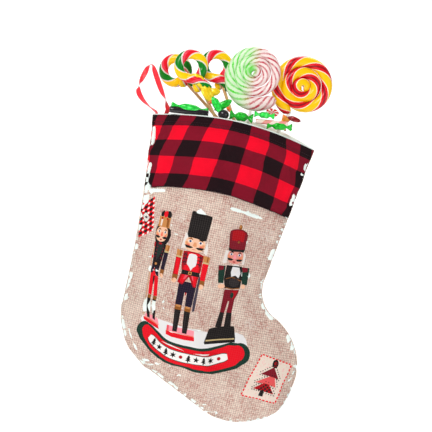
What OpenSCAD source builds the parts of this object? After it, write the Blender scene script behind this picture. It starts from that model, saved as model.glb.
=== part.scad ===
// Hanging stocking with a plaid cuff, a ribbon loop and lift-out sweets.
// +X runs from the heel side to the toe side, +Z up along the leg, -Y is the printed front.
// The origin is the top of the ribbon loop, where a hook carries it.
// Places on the cloth are (u, v): u across from the heel-side mouth corner, v down from the rim.

/* [Stocking outline] */
// Width across the mouth, laid straight
mouth_w = 206; // [190:1:220]
// Distance down the leg from the rim to the heel centre
heel_v = 237; // [225:1:250]
// Radius of the heel curve
heel_r = 82; // [74:1:86]
// Distance across from the mouth corner to the heel centre
heel_u = 95; // [90:1:100]
// Radius of the toe curve
toe_r = 73.5; // [68:0.5:76]
// Distance across from the mouth corner to the toe centre
toe_u = 172; // [165:1:180]
// Distance down from the rim to the toe centre
toe_v = 282; // [274:1:290]
// Radius of the hollow instep curve
instep_r = 42; // [36:1:46]
// Distance down from the rim to the instep centre
instep_v = 178; // [172:1:184]

/* [Cloth] */
// Height of the plaid cuff
cuff_h = 89; // [70:1:100]
// Thickness of the outer cloth
outer_t = 0.8; // [0.6:0.1:1.2]
// Thickness of the lining
lining_t = 0.7; // [0.5:0.1:0.9]
// Half the front-to-back opening at the mouth
mouth_depth = 36; // [30:1:40]
// Half the front-to-back depth of the leg
leg_depth = 31; // [24:1:36]
// Half the front-to-back depth of the foot
foot_depth = 26; // [20:1:30]
// How far the rim rises at its middle
rim_arch = 12; // [6:1:16]
// How much higher the back rim stands than the front rim
back_rise = 8; // [4:1:10]

/* [Ribbon] */
// Width of the satin ribbon
ribbon_w = 6.5; // [5:0.5:8]
// Thickness of the satin ribbon
ribbon_t = 0.8; // [0.6:0.1:1]

/* [Sweets] */
// Outer radius of the pale swirl pop
pale_r = 37.5; // [34:0.5:38]
// Outer radius of the golden swirl pop
gold_r = 40; // [35:0.5:40]
// Radius of the rope in a looped pop
loop_rope_r = 5; // [4:0.5:5.5]
// Radius of a lollipop stick
stick_r = 1.9; // [1.5:0.1:2]

/* [Hidden] */

// Heel-side mouth corner, measured from the hanging point
corner_x = 16;
corner_z = -60.5;
seam_gap = 0.15;     // half the gap between front and back at the side seam
layer_gap = 0.1;     // air between the lining and the outer cloth
row_gap = 0.2;       // gap of the butt seam between cuff and leg
cols = 14;           // cloth squares across a panel
cuff_rows = 4;
leg_rows = 5;
turn_rows = 9;
foot_rows = 10;
rows = cuff_rows + leg_rows + turn_rows + foot_rows;
front = -1;
back = 1;

// ---- the stocking's outline, as two rails that the cloth is stretched between ----
heel_c = [heel_u, heel_v];
toe_c = [toe_u, toe_v];
// the instep circle touches the toe circle, so its centre is one sum of radii away
instep_c = [toe_u + sqrt(pow(toe_r + instep_r, 2) - pow(toe_v - instep_v, 2)), instep_v];
sole_len = norm(toe_c - heel_c);
sole_dir = atan2(toe_v - heel_v, toe_u - heel_u);
// angle at which the straight sole touches both circles
sole_tangent = sole_dir + acos((heel_r - toe_r) / sole_len);
instep_meet = atan2(toe_v - instep_v, toe_u - instep_c[0]);
leg_lean = 8;        // lean of the toe-side leg edge
toe_end_heel = 41;   // where the two rails end at the toe tip
toe_end_top = 35;

function arc(c, r, a, b, n) = [for (i = [0:n]) c + r * [cos(a + (b - a) * i / n), sin(a + (b - a) * i / n)]];
function line(p, q, n) = [for (i = [0:n]) p + (q - p) * i / n];
function curve(p, c, q, a, b, n) = [for (i = [0:n]) let (t = a + (b - a) * i / n)
    (1 - t) * (1 - t) * p + 2 * t * (1 - t) * c + t * t * q];
function lengths(p, i = 0, acc = [0]) = i >= len(p) - 1 ? acc
    : lengths(p, i + 1, concat(acc, [acc[i] + norm(p[i + 1] - p[i])]));
// n + 1 points evenly spread along a line of points
function spread(p, n) = let (d = lengths(p), total = d[len(d) - 1],
    us = [for (i = [0:len(p) - 1]) [d[i], p[i][0]]], vs = [for (i = [0:len(p) - 1]) [d[i], p[i][1]]])
    [for (k = [0:n]) [lookup(total * k / n, us), lookup(total * k / n, vs)]];
function tail(p) = [for (i = [1:len(p) - 1]) p[i]];

heel_top = [0, 0];
heel_side = heel_c - [heel_r, 0];
heel_bow = [15, heel_v / 2];       // pulls the heel-side edge inward a little
cuff_share = 0.35;                 // share of the heel-side edge that the cuff covers
leg_share = 0.8;                   // share of it above the turn of the ankle
toe_top = [mouth_w, 0];
leg_foot = instep_c + instep_r * [cos(180 + leg_lean), sin(180 + leg_lean)];
sole_a = heel_c + heel_r * [cos(sole_tangent), sin(sole_tangent)];
sole_b = toe_c + toe_r * [cos(sole_tangent), sin(sole_tangent)];
cuff_toe = toe_top + (leg_foot - toe_top) * cuff_h / leg_foot[1];
cuff_heel_t = cuff_h / heel_v;

heel_rail = concat(
    spread(curve(heel_top, heel_bow, heel_side, 0, cuff_heel_t, 8), cuff_rows),
    tail(spread(curve(heel_top, heel_bow, heel_side, cuff_heel_t, leg_share, 8), leg_rows)),
    tail(spread(concat(curve(heel_top, heel_bow, heel_side, leg_share, 1, 4),
        tail(arc(heel_c, heel_r, 180, sole_tangent, 12)), tail(line(sole_a, (sole_a + sole_b) / 2, 2))), turn_rows)),
    tail(spread(concat(line((sole_a + sole_b) / 2, sole_b, 2),
        tail(arc(toe_c, toe_r, sole_tangent, toe_end_heel, 14))), foot_rows)));
toe_rail = concat(
    spread(line(toe_top, cuff_toe, 2), cuff_rows),
    tail(spread(line(cuff_toe, leg_foot, 2), leg_rows)),
    tail(spread(arc(instep_c, instep_r, 180 + leg_lean, instep_meet, 12), turn_rows)),
    tail(spread(arc(toe_c, toe_r, instep_meet - 180, toe_end_top, 18), foot_rows)));
heel_us = [for (i = [0:rows]) [i, heel_rail[i][0]]];
heel_vs = [for (i = [0:rows]) [i, heel_rail[i][1]]];
toe_us = [for (i = [0:rows]) [i, toe_rail[i][0]]];
toe_vs = [for (i = [0:rows]) [i, toe_rail[i][1]]];

// half the depth of the stocking at row s
foot_start = cuff_rows + leg_rows + turn_rows;
depths = [[0, mouth_depth], [cuff_rows, mouth_depth - 2], [cuff_rows + leg_rows, leg_depth], [foot_start, foot_depth + 2]];
function depth(s) = s <= foot_start ? lookup(s, depths)
    : (foot_depth + 2) * sqrt(1 - pow((s - foot_start) / foot_rows, 2));
// how full the cross-section is at t across it
function fullness(t) = 1 - pow(abs(2 * t - 1), 2.2);
// rise of the cloth rows towards the middle, fading out below the cuff
function rise(side, s, t) = (s <= cuff_rows ? 1 : max(0, 1 - (s - cuff_rows) / leg_rows))
    * (rim_arch * sin(180 * t) + (side == back ? back_rise * sin(180 * pow(t, 1.8)) * max(0, 1 - s / cuff_rows) : 0));
// a point of the cloth: row s, share t across, off millimetres out from the lining's inner face
function cloth(side, s, t, off) = [
    corner_x + lookup(s, heel_us) * (1 - t) + lookup(s, toe_us) * t,
    side * (seam_gap + depth(s) * fullness(t) + off),
    corner_z - lookup(s, heel_vs) * (1 - t) - lookup(s, toe_vs) * t + rise(side, s, t)];

// one layer of cloth between rows s0 and s1, inner face at off a, outer face at off b
module panel(side, s0, s1, a, b) {
    n = round(s1) - round(s0);
    w = cols + 1;
    row_at = [for (i = [0:n]) i == 0 ? s0 : round(s0) + i];
    inner = [for (i = [0:n]) for (j = [0:cols]) cloth(side, row_at[i], j / cols, a)];
    outer = [for (i = [0:n]) for (j = [0:cols]) cloth(side, row_at[i], j / cols, b)];
    m = len(inner);
    squares = [for (i = [0:n - 1]) for (j = [0:cols - 1]) [i * w + j, i * w + j + 1, (i + 1) * w + j + 1, (i + 1) * w + j]];
    halves = [for (q = squares) each [[q[0], q[1], q[2]], [q[0], q[2], q[3]]]];
    edge = concat([for (j = [0:cols - 1]) j], [for (i = [0:n - 1]) i * w + cols],
        [for (j = [cols:-1:1]) n * w + j], [for (i = [n:-1:1]) i * w]);
    walls = [for (k = [0:len(edge) - 1]) let (p = edge[k], q = edge[(k + 1) % len(edge)])
        each [[q, p, p + m], [q, p + m, q + m]]];
    outer_faces = [for (f = halves) [f[2] + m, f[1] + m, f[0] + m]];
    faces = concat(halves, outer_faces, walls);
    turned = [for (f = faces) [f[2], f[1], f[0]]];
    polyhedron(concat(inner, outer), side == front ? turned : faces);
}

outer_in = lining_t + layer_gap;
outer_out = outer_in + outer_t;

module leg_front() { color("tan") panel(front, cuff_rows + row_gap / 10, rows, outer_in, outer_out); }
module leg_back() { color("tan") panel(back, cuff_rows + row_gap / 10, rows, outer_in, outer_out); }
module cuff_front() { color("firebrick") panel(front, 0, cuff_rows, outer_in, outer_out); }
module cuff_back() { color("firebrick") panel(back, 0, cuff_rows, outer_in, outer_out); }
module lining_front() { color("mintcream") panel(front, 0, rows, 0, lining_t); }
module lining_back() { color("mintcream") panel(back, 0, rows, 0, lining_t); }

// ---- threads ----
hem_rows = [8.5, 11.5];      // distance of each stitched line below the rim
stitch_pitch = 5.2;
stitch_l = 3.6;
stitch_w = 0.7;

module hem(side) {
    count = floor(mouth_w / stitch_pitch);
    for (drop = hem_rows) {
        s = cuff_rows * drop / cuff_h;
        for (k = [1:count - 1]) {
            here = cloth(side, s, k / count, outer_out);
            next = cloth(side, s, (k + 0.2) / count, outer_out);
            way = next - here;
            translate(here)
                rotate([0, -atan2(way[2], norm([way[0], way[1]])), atan2(way[1], way[0])])
                    cube([stitch_l, stitch_w, stitch_w], center = true);
        }
    }
}
module hem_stitches_front() { color("black") hem(front); }
module hem_stitches_back() { color("black") hem(back); }

// a closed tube along points, with a flat or round section of half sizes a and b; swell scales b point by point
function unit(v) = v / norm(v);
module sweep(path, a, b, sides, flat_dir, swell = []) {
    n = len(path);
    rings = [for (i = [0:n - 1]) let (way = unit(path[min(i + 1, n - 1)] - path[max(i - 1, 0)]),
        wide = unit(flat_dir - way * (flat_dir * way)), thin = cross(way, wide))
        [for (k = [0:sides - 1]) path[i] + wide * a * cos(360 * k / sides)
            + thin * b * (len(swell) > 0 ? swell[i] : 1) * sin(360 * k / sides)]];
    points = [for (r = rings) each r];
    walls = [for (i = [0:n - 2]) for (k = [0:sides - 1]) let (l = (k + 1) % sides)
        each [[i * sides + k, (i + 1) * sides + k, (i + 1) * sides + l], [i * sides + k, (i + 1) * sides + l, i * sides + l]]];
    caps = [for (k = [1:sides - 2]) each [[0, k, k + 1], [(n - 1) * sides, (n - 1) * sides + k + 1, (n - 1) * sides + k]]];
    polyhedron(points, concat(walls, caps));
}

thread_r = 0.5;
module seam_line(side) {
    margin = 0.02;
    sweep([for (k = [0:24]) cloth(side, cuff_rows + row_gap / 20, margin + (1 - 2 * margin) * k / 24, outer_in + outer_t / 2)],
        thread_r, thread_r, 6, [0, 1, 0]);
}
module cuff_seam_front() { color("dimgray") seam_line(front); }
module cuff_seam_back() { color("dimgray") seam_line(back); }

module side_seam_thread() {
    around = concat([for (i = [0:rows]) heel_rail[i]], [for (i = [rows:-1:0]) toe_rail[i]]);
    color("wheat") sweep([for (p = around) [corner_x + p[0], 0, corner_z - p[1]]], thread_r, thread_r, 6, [0, 1, 0]);
}

// ---- ribbon loop: its route, hand chosen, from one sewn end over the top to the other ----
ribbon_hinge_z = corner_z + 3.5;
ribbon_route = [
    [20, 0, -56.8], [15, 0, -54], [9, -1, -51], [0, -1.5, -45], [-6, -1.5, -38.5], [-8.3, -1, -33],
    [-8.5, 0, -29], [-7, 0.5, -21], [-4.6, 0.5, -12], [-2.6, 0, -5], [-1, 0, -1.5], [1, 0, -0.4],
    [3.4, 0, -1.5], [6.5, 0, -6.5], [11.5, 0, -15], [17, 0, -24], [22, 0, -31.5], [27.5, 0, -38.5],
    [31, 0, -46], [33.2, -0.8, -49.5], [32.6, -0.5, -53], [32, 0, -56.8]
];
tail_a = [[20.3, 0, -60.3], [20.8, 0, -64], [21.5, 0, -70]];
tail_b = [[31.8, 0, -60.3], [31.4, 0, -64], [31, 0, -70]];
// the two ends of the loop are rounded about the line it flops on
module ribbon_loop() {
    color("red") {
        sweep(ribbon_route, ribbon_w / 2, ribbon_t / 2, 8, [0, 1, 0]);
        for (end = [ribbon_route[0], ribbon_route[len(ribbon_route) - 1]])
            translate([end[0], 0, ribbon_hinge_z])
                rotate([0, 90, 0])
                    cylinder(h = ribbon_t, r = ribbon_w / 2, center = true, $fn = 32);
    }
}
module ribbon_tails() {
    color("red") {
        sweep(tail_a, ribbon_w / 2, ribbon_t / 2, 8, [0, 1, 0]);
        sweep(tail_b, ribbon_w / 2, ribbon_t / 2, 8, [0, 1, 0]);
    }
}
// short dense stitching that holds both ribbon ends together on the side seam
module ribbon_bartack() {
    color("darkred") translate([26.2, 0, -68.5])
        cube([13, 4.4, 1.6], center = true);
}

// ---- lollipops: each drawn upright at its head's centre, then leaned and put in its own layer ----
// head centre u, v; layer y; lean of the stick from upright, positive when the stick runs toeward
pale_at = [115, -75, -10, 3];
gold_at = [177.5, -75, 4, -18];
left_at = [15, -61, 16, 54];
middle_at = [34, -68, -8, 38];
right_at = [64, -76, 4, 31];
module lean(at) {
    translate([corner_x + at[0], at[2], corner_z - at[1]])
        rotate([0, -at[3], 0])
            children();
}
module stick(top, length) {
    translate([0, 0, -top - length])
        cylinder(h = length, r = stick_r, $fn = 24);
}
// a rope of candy wound outward into a flat disc; it ends past degrees beyond the bottom, where the stick is,
// and swells there by the share fat
function rope_pitch(rope) = 2 * rope + 0.3;
function swirl_end(radius, rope) = radius + rope_pitch(rope) / 4;
module swirl(radius, rope, flat, turns, past, fat) {
    pitch = rope_pitch(rope);
    last = swirl_end(radius, rope) - rope;
    step = 12;
    total = turns * 360;
    swell = [for (a = [0:step:total]) 1 + fat * pow(cos(min(90, abs(a - total + past) / 1.4)), 2)];
    sweep([for (i = [0:len(swell) - 1])
        let (a = i * step, r = last - pitch * (total - a) / 360 + rope * (swell[i] - 1), way = a - total - 90 + past)
        [r * cos(way), 0, r * sin(way)]], flat, rope, 10, [0, 1, 0], swell);
}
// a rope of candy bent round into a loop, both ends held side by side on the stick
loop_bend_r = 15;
module rope_loop(drop) {
    end_x = loop_rope_r + 0.3;
    sweep(concat([[end_x, 0, -drop]],
        [for (a = [-50:10:230]) [loop_bend_r * cos(a), 0, loop_bend_r * sin(a)]],
        [[-end_x, 0, -drop]]), loop_rope_r, loop_rope_r, 8, [0, 1, 0]);
}

pale_rope = 5.4;
gold_rope = 6.4;
pop_stick_l = 100;
loop_stick_l = 88;
left_drop = 22;
middle_drop = 32;
right_drop = 28;
grip = 8;            // how far each stick reaches into its candy
module pale_pop_candy() { color("pink") lean(pale_at) swirl(pale_r, pale_rope, 5.5, 2.9, 48, 0.5); }
module pale_pop_stick() { color("white") lean(pale_at) stick(swirl_end(pale_r, pale_rope) - grip, pop_stick_l); }
module gold_pop_candy() { color("gold") lean(gold_at) swirl(gold_r, gold_rope, 6.3, 2.45, 0, 0); }
module gold_pop_stick() { color("white") lean(gold_at) stick(swirl_end(gold_r, gold_rope) - grip, pop_stick_l); }
// gathered foil skirt round the top of the stick
foil_h = 16;
module gold_pop_foil() {
    color("orange") lean(gold_at) translate([0, 0, -swirl_end(gold_r, gold_rope) - foil_h - 0.2])
        rotate_extrude($fn = 32)
            polygon([[stick_r + 0.05, 0], [6.5, 1], [3, foil_h / 2], [5.5, foil_h], [stick_r + 0.05, foil_h]]);
}
module left_pop_candy() { color("limegreen") lean(left_at) rope_loop(left_drop); }
module left_pop_stick() { color("burlywood") lean(left_at) stick(left_drop - grip, loop_stick_l + 20); }
module middle_pop_candy() { color("yellow") lean(middle_at) rope_loop(middle_drop); }
module middle_pop_stick() { color("burlywood") lean(middle_at) stick(middle_drop - grip, loop_stick_l); }
module right_pop_candy() { color("green") lean(right_at) rope_loop(right_drop); }
module right_pop_stick() { color("burlywood") lean(right_at) stick(right_drop - grip, loop_stick_l); }

// ---- small wrapped sweets behind the front rim ----
// a sweet in a wrapper twisted at both ends, its length along X
module twisted(length, r, fan) {
    rotate([0, 90, 0])
        translate([0, 0, -length / 2])
            rotate_extrude($fn = 28)
                polygon([[0, 0], [fan, 0.5], [1.2, length * 0.2], [r, length * 0.34], [r, length * 0.66],
                    [1.2, length * 0.8], [fan, length - 0.5], [0, length]]);
}
module leaf(length, width, thick) {
    translate([0, thick / 2, 0])
        rotate([90, 0, 0])
            linear_extrude(thick)
                polygon([[0, -length / 2], [width / 2, -length / 6], [width / 2, length / 6], [0, length / 2],
                    [-width / 2, length / 6], [-width / 2, -length / 6]]);
}
module at(u, v, y) {
    translate([corner_x + u, y, corner_z - v])
        children();
}
// a long dark bar with a folded film laid along its top
module long_wrapped_sweet() {
    color("green") {
        at(44, -12.8, -19.4) rotate([0, 84, 0]) cylinder(h = 48, r = 4, center = true, $fn = 28);
        at(44, -17, -19.4) rotate([0, -3, 0]) scale([1, 1, 0.75]) twisted(44, 5.4, 3.4);
    }
}
module foil_bow_sweet() {
    color("limegreen") at(80, -27, -23) {
        rotate([0, -50, 0]) leaf(26, 10, 5);
        rotate([0, 50, 0]) leaf(26, 10, 5);
        translate([6, 0, -9]) sphere(r = 6, $fn = 28);
    }
}
module green_wrapped_sweet() { color("green") at(108, -20, -24) rotate([0, -4, 0]) twisted(28, 5.2, 5); }
module small_wrapped_sweet() { color("forestgreen") at(135, -27.8, -26.8) rotate([0, -6, 0]) twisted(24, 3.6, 3.2); }
module striped_mint() {
    color("crimson") at(144, -33.4, -19.3) scale([1, 1, 0.62]) rotate([90, 0, 0]) translate([0, 0, -3.5])
        rotate_extrude($fn = 32)
            polygon([[0, 0], [6.5, 0], [8, 1.5], [8, 5.5], [6.5, 7], [0, 7]]);
}
// a pink stick with a twist of green film round its lower end
module candy_stick() {
    color("pink") {
        at(146, -21, -24) rotate([0, 83, 0]) cylinder(h = 40, r = 3, center = true, $fn = 24);
        at(156, -18.6, -24.6) rotate([0, -7, 0]) twisted(30, 4.2, 3.6);
    }
}
module red_wrapped_sweet() { color("darkred") at(172, -31.5, -16) rotate([0, 6, 0]) leaf(7, 17, 4); }

leg_front();
leg_back();
cuff_front();
cuff_back();
lining_front();
lining_back();
hem_stitches_front();
hem_stitches_back();
cuff_seam_front();
cuff_seam_back();
side_seam_thread();
ribbon_loop();
ribbon_tails();
ribbon_bartack();
pale_pop_candy();
pale_pop_stick();
gold_pop_candy();
gold_pop_stick();
gold_pop_foil();
left_pop_candy();
left_pop_stick();
middle_pop_candy();
middle_pop_stick();
right_pop_candy();
right_pop_stick();
long_wrapped_sweet();
foil_bow_sweet();
green_wrapped_sweet();
small_wrapped_sweet();
striped_mint();
candy_stick();
red_wrapped_sweet();
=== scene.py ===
import math
import random

import bpy
import numpy as np
from mathutils import Matrix, Vector
from mathutils.bvhtree import BVHTree
from mathutils.geometry import delaunay_2d_cdt, barycentric_transform


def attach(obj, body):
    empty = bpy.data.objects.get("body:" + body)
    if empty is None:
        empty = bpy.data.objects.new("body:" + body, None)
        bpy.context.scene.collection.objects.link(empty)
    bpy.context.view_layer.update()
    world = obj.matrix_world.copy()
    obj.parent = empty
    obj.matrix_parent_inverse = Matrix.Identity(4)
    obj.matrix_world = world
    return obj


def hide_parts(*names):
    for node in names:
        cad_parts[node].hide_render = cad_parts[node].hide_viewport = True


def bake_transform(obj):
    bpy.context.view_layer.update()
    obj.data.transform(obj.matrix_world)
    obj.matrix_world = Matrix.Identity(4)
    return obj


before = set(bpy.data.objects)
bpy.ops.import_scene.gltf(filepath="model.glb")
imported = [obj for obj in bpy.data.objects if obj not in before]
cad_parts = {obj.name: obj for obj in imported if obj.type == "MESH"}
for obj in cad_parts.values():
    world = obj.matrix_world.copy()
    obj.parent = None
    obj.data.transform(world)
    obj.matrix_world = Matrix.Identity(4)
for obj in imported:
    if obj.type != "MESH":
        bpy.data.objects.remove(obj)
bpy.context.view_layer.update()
scene = bpy.context.scene
MM = 0.001
rng = random.Random(7)

# ------------------------------------------------------------------ camera, floor and light

TILT = math.radians(12.5)          # the stocking leans this far from upright in the picture plane
AIM = Vector((0.1202, 0, -0.1667))
STAND_OFF = 1.25
CAMERA_RISE = math.radians(2.5)
WORLD_LIGHT, WORLD_SEEN = 0.31, 0.6          # how bright the world lights, and how much brighter it looks
FLOOR_HALF = 9


def add_camera():
    data = bpy.data.cameras.new("camera")
    data.lens = 83.3
    data.sensor_width = 36
    cam = bpy.data.objects.new("camera", data)
    scene.collection.objects.link(cam)
    up = Vector((-math.sin(TILT), 0, math.cos(TILT)))
    right = Vector((math.cos(TILT), 0, math.sin(TILT)))
    back = Vector((0, -1, 0)) * math.cos(CAMERA_RISE) + up * math.sin(CAMERA_RISE)
    up = back.cross(right)
    spot = AIM + back * STAND_OFF
    cam.matrix_world = Matrix([[right[i], up[i], back[i], spot[i]] for i in range(3)] + [[0, 0, 0, 1]])
    scene.camera = cam


def add_area(name, place, size, power, colour=(1, 1, 1)):
    data = bpy.data.lights.new(name, "AREA")
    data.shape = "DISK"
    data.size = size
    data.energy = power
    data.color = colour
    lamp = bpy.data.objects.new(name, data)
    lamp.location = place
    lamp.rotation_euler = (AIM - Vector(place)).to_track_quat("-Z", "Y").to_euler()
    scene.collection.objects.link(lamp)
    lamp.visible_camera = False


def add_studio():
    scene.view_settings.view_transform = "Standard"
    scene.view_settings.look = "None"
    world = bpy.data.worlds.new("studio")
    world.use_nodes = True
    world.node_tree.nodes["Background"].inputs["Color"].default_value = (1, 1, 1, 1)
    # the bare surroundings look pale, and light the stocking less than they show
    nodes, links = world.node_tree.nodes, world.node_tree.links
    seen, strength = nodes.new("ShaderNodeLightPath"), nodes.new("ShaderNodeMath")
    strength.operation = "MULTIPLY_ADD"
    strength.inputs[1].default_value, strength.inputs[2].default_value = WORLD_SEEN, WORLD_LIGHT
    links.new(seen.outputs["Is Camera Ray"], strength.inputs[0])
    links.new(strength.outputs[0], nodes["Background"].inputs["Strength"])
    scene.world = world
    add_area("key", (-0.55, -1.15, 0.65), 0.7, 13, (1, 0.99, 0.97))
    add_area("fill", (1.1, -0.9, 0.1), 1.0, 3.5)
    add_area("back_glow", (0.2, 0.5, 0.9), 1.0, 9)
    # one seamless sweep: a floor that curves up into a wall
    drop, wall, bend, reach = -0.75, 1.5, 0.6, 2.5
    profile = [(-3.0, drop), (wall - bend, drop)]
    profile += [(wall - bend + bend * math.sin(a), drop + bend - bend * math.cos(a))
                for a in np.linspace(0.1, math.pi / 2, 16)]
    profile.append((wall, reach))
    verts = [(x, y, z) for y, z in profile for x in (-FLOOR_HALF, FLOOR_HALF)]
    faces = [(2 * i, 2 * i + 1, 2 * i + 3, 2 * i + 2) for i in range(len(profile) - 1)]
    paper = bpy.data.materials.new("studio_paper")
    paper.use_nodes = True
    shader = paper.node_tree.nodes["Principled BSDF"]
    shader.inputs["Base Color"].default_value = (0.96, 0.96, 0.96, 1)
    shader.inputs["Roughness"].default_value = 0.9
    shader.inputs["Emission Color"].default_value = (1, 1, 1, 1)
    shader.inputs["Emission Strength"].default_value = 0.35
    new_piece("studio_floor", verts, faces, paper)


# ------------------------------------------------------------------ mesh helpers

def new_piece(name, verts, faces, material, uv=None, smooth=True):
    """A mesh object at the origin; uv is one (u, v) for each corner."""
    mesh = bpy.data.meshes.new(name)
    mesh.from_pydata([tuple(map(float, v)) for v in verts], [], faces)
    if uv is not None:
        mesh.uv_layers.new(name="cloth").data.foreach_set("uv", np.asarray(uv, dtype=float).ravel())
    mesh.materials.append(material)
    mesh.polygons.foreach_set("use_smooth", [smooth] * len(mesh.polygons))
    obj = bpy.data.objects.new(name, mesh)
    scene.collection.objects.link(obj)
    return obj


def finish_modifiers(obj):
    """Turns what the modifiers make into a plain mesh."""
    depsgraph = bpy.context.evaluated_depsgraph_get()
    mesh = bpy.data.meshes.new_from_object(obj.evaluated_get(depsgraph))
    obj.modifiers.clear()
    obj.data = mesh


def thicken(obj, thickness):
    wall = obj.modifiers.new("wall", "SOLIDIFY")
    wall.thickness = thickness
    wall.offset = -1
    wall.use_even_offset = False
    return obj


def smooth_route(points, per_span):
    """Points on a smooth curve through the given ones (any number of values each)."""
    p = np.asarray(points, dtype=float)
    ends = np.vstack([2 * p[0] - p[1], p, 2 * p[-1] - p[-2]])
    out = []
    for i in range(1, len(ends) - 2):
        a, b, c, d = ends[i - 1:i + 3]
        for t in np.arange(per_span) / per_span:
            out.append(0.5 * (2 * b + (c - a) * t + (2 * a - 5 * b + 4 * c - d) * t * t
                              + (3 * b - a - 3 * c + d) * t ** 3))
    out.append(p[-1])
    return np.array(out)


def unit(v):
    return v / max(np.linalg.norm(v), 1e-12)


# ------------------------------------------------------------------ shader building blocks

class Shader:
    """Short calls that place and link nodes in one tree."""

    def __init__(self, tree):
        self.tree = tree

    def add(self, kind, **settings):
        node = self.tree.nodes.new(kind)
        for key, value in settings.items():
            setattr(node, key, value)
        return node

    def feed(self, node, **inputs):
        for key, value in inputs.items():
            self.put(node.inputs[key.replace("_", " ")], value)
        return node

    def put(self, socket, value):
        if isinstance(value, bpy.types.NodeSocket):
            self.tree.links.new(value, socket)
        else:
            socket.default_value = value

    def math(self, operation, a, b=0.0, clamp=False):
        node = self.add("ShaderNodeMath", operation=operation, use_clamp=clamp)
        self.put(node.inputs[0], a)
        self.put(node.inputs[1], b)
        return node.outputs[0]

    def times(self, a, b, clamp=False):
        return self.math("MULTIPLY", a, b, clamp)

    def plus(self, a, b):
        return self.math("ADD", a, b)

    def minus(self, a, b, clamp=False):
        return self.math("SUBTRACT", a, b, clamp)

    def stretched(self, vector, scales):
        node = self.add("ShaderNodeVectorMath", operation="MULTIPLY")
        self.put(node.inputs[0], vector)
        self.put(node.inputs[1], scales)
        return node.outputs[0]

    def split(self, vector):
        node = self.add("ShaderNodeSeparateXYZ")
        self.put(node.inputs[0], vector)
        return node.outputs

    def mix(self, factor, a, b):
        node = self.add("ShaderNodeMix", data_type="RGBA")
        return self.feed(node, Factor=factor, A=a, B=b).outputs["Result"]

    def spread(self, value, low, high, to_low=0.0, to_high=1.0):
        node = self.add("ShaderNodeMapRange", clamp=True)
        self.put(node.inputs["Value"], value)
        for key, number in zip(("From Min", "From Max", "To Min", "To Max"), (low, high, to_low, to_high)):
            node.inputs[key].default_value = number
        return node.outputs["Result"]

    def noise(self, vector, scale, detail=2.0, rough=0.5):
        node = self.add("ShaderNodeTexNoise")
        return self.feed(node, Vector=vector, Scale=scale, Detail=detail, Roughness=rough).outputs["Fac"]

    def group(self, tree, **inputs):
        return self.feed(self.add("ShaderNodeGroup", node_tree=tree), **inputs).outputs

    def bump(self, height, strength, distance):
        node = self.feed(self.add("ShaderNodeBump"), Strength=strength, Distance=distance, Height=height)
        return node.outputs["Normal"]

    def paint(self, tone, *bump):
        """Puts the colour, and a bump given as height, strength and distance, on the material's shader."""
        self.put(self.shader.inputs["Base Color"], tone)
        if bump:
            self.put(self.shader.inputs["Normal"], self.bump(*bump))
        return self.material


def new_group(name, inputs, outputs):
    """A shader node group: inputs and outputs are (name, socket type, default)."""
    tree = bpy.data.node_groups.new(name, "ShaderNodeTree")
    for label, kind, default in inputs:
        socket = tree.interface.new_socket(name=label, in_out="INPUT", socket_type=kind)
        if default is not None:
            socket.default_value = default
    for label, kind in outputs:
        tree.interface.new_socket(name=label, in_out="OUTPUT", socket_type=kind)
    sh = Shader(tree)
    return tree, sh, sh.add("NodeGroupInput").outputs, sh.add("NodeGroupOutput").inputs


VALUE, VECTOR = "NodeSocketFloat", "NodeSocketVector"


def weave_group():
    """Plain weave: threads pass over and under each other. Gives a height, and a Shade that falls to 0 at the
    threads' edges; the cloth materials use it to paint shade into the gaps between threads.
    """
    tree, sh, given, out = new_group("plain_weave", [("Vector", VECTOR, None), ("Pitch", VALUE, 0.001),
        ("Wander", VALUE, 0.15)], [("Height", VALUE), ("Shade", VALUE)])
    wander = sh.minus(sh.noise(given["Vector"], 260, 1), 0.5)
    wander = sh.times(wander, given["Wander"])
    split = sh.split(given["Vector"])
    waves = []
    for axis in ("X", "Z"):
        turns = sh.plus(sh.math("DIVIDE", split[axis], given["Pitch"]), wander)
        waves.append(sh.math("SINE", sh.times(turns, math.pi)))
    over = sh.math("GREATER_THAN", sh.times(waves[0], waves[1]), 0)
    ridges = [sh.math("ABSOLUTE", w) for w in waves]
    across = sh.times(over, ridges[0])
    along = sh.times(sh.minus(1, over), ridges[1])
    height = sh.plus(across, along)
    sh.put(out["Height"], height)
    sh.put(out["Shade"], sh.spread(height, 0.0, 0.8))
    return tree


def slub_group():
    """Uneven yarns: short dark flecks that run across and along the cloth."""
    tree, sh, given, out = new_group("slub_flecks", [("Vector", VECTOR, None), ("Density", VALUE, 0.5)],
        [("Across", VALUE), ("Along", VALUE), ("Blotch", VALUE)])
    across = sh.noise(sh.stretched(given["Vector"], (190, 190, 900)), 1, 2, 0.6)
    along = sh.noise(sh.stretched(given["Vector"], (900, 190, 190)), 1, 2, 0.6)
    low = sh.minus(0.68, sh.times(given["Density"], 0.2))
    for label, field in (("Across", across), ("Along", along)):
        sh.put(out[label], sh.times(sh.minus(field, low), 7, True))
    sh.put(out["Blotch"], sh.spread(sh.noise(given["Vector"], 42, 3, 0.55), 0.35, 0.68))
    return tree


def rope_group():
    """Stripes that run round a rope of candy. Gives the place across the repeat, 0 to 1."""
    tree, sh, given, out = new_group("rope_stripes", [("UV", VECTOR, None), ("Repeats", VALUE, 2.0),
        ("Twist", VALUE, 0.05), ("Wobble", VALUE, 0.03)], [("Place", VALUE)])
    split = sh.split(given["UV"])
    wobble = sh.times(sh.minus(sh.noise(given["UV"], 3, 1), 0.5), given["Wobble"])
    turn = sh.plus(sh.times(split["Y"], given["Repeats"]),
                   sh.times(split["X"], given["Twist"]))
    sh.put(out["Place"], sh.math("FRACT", sh.plus(turn, wobble)))
    return tree


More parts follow.
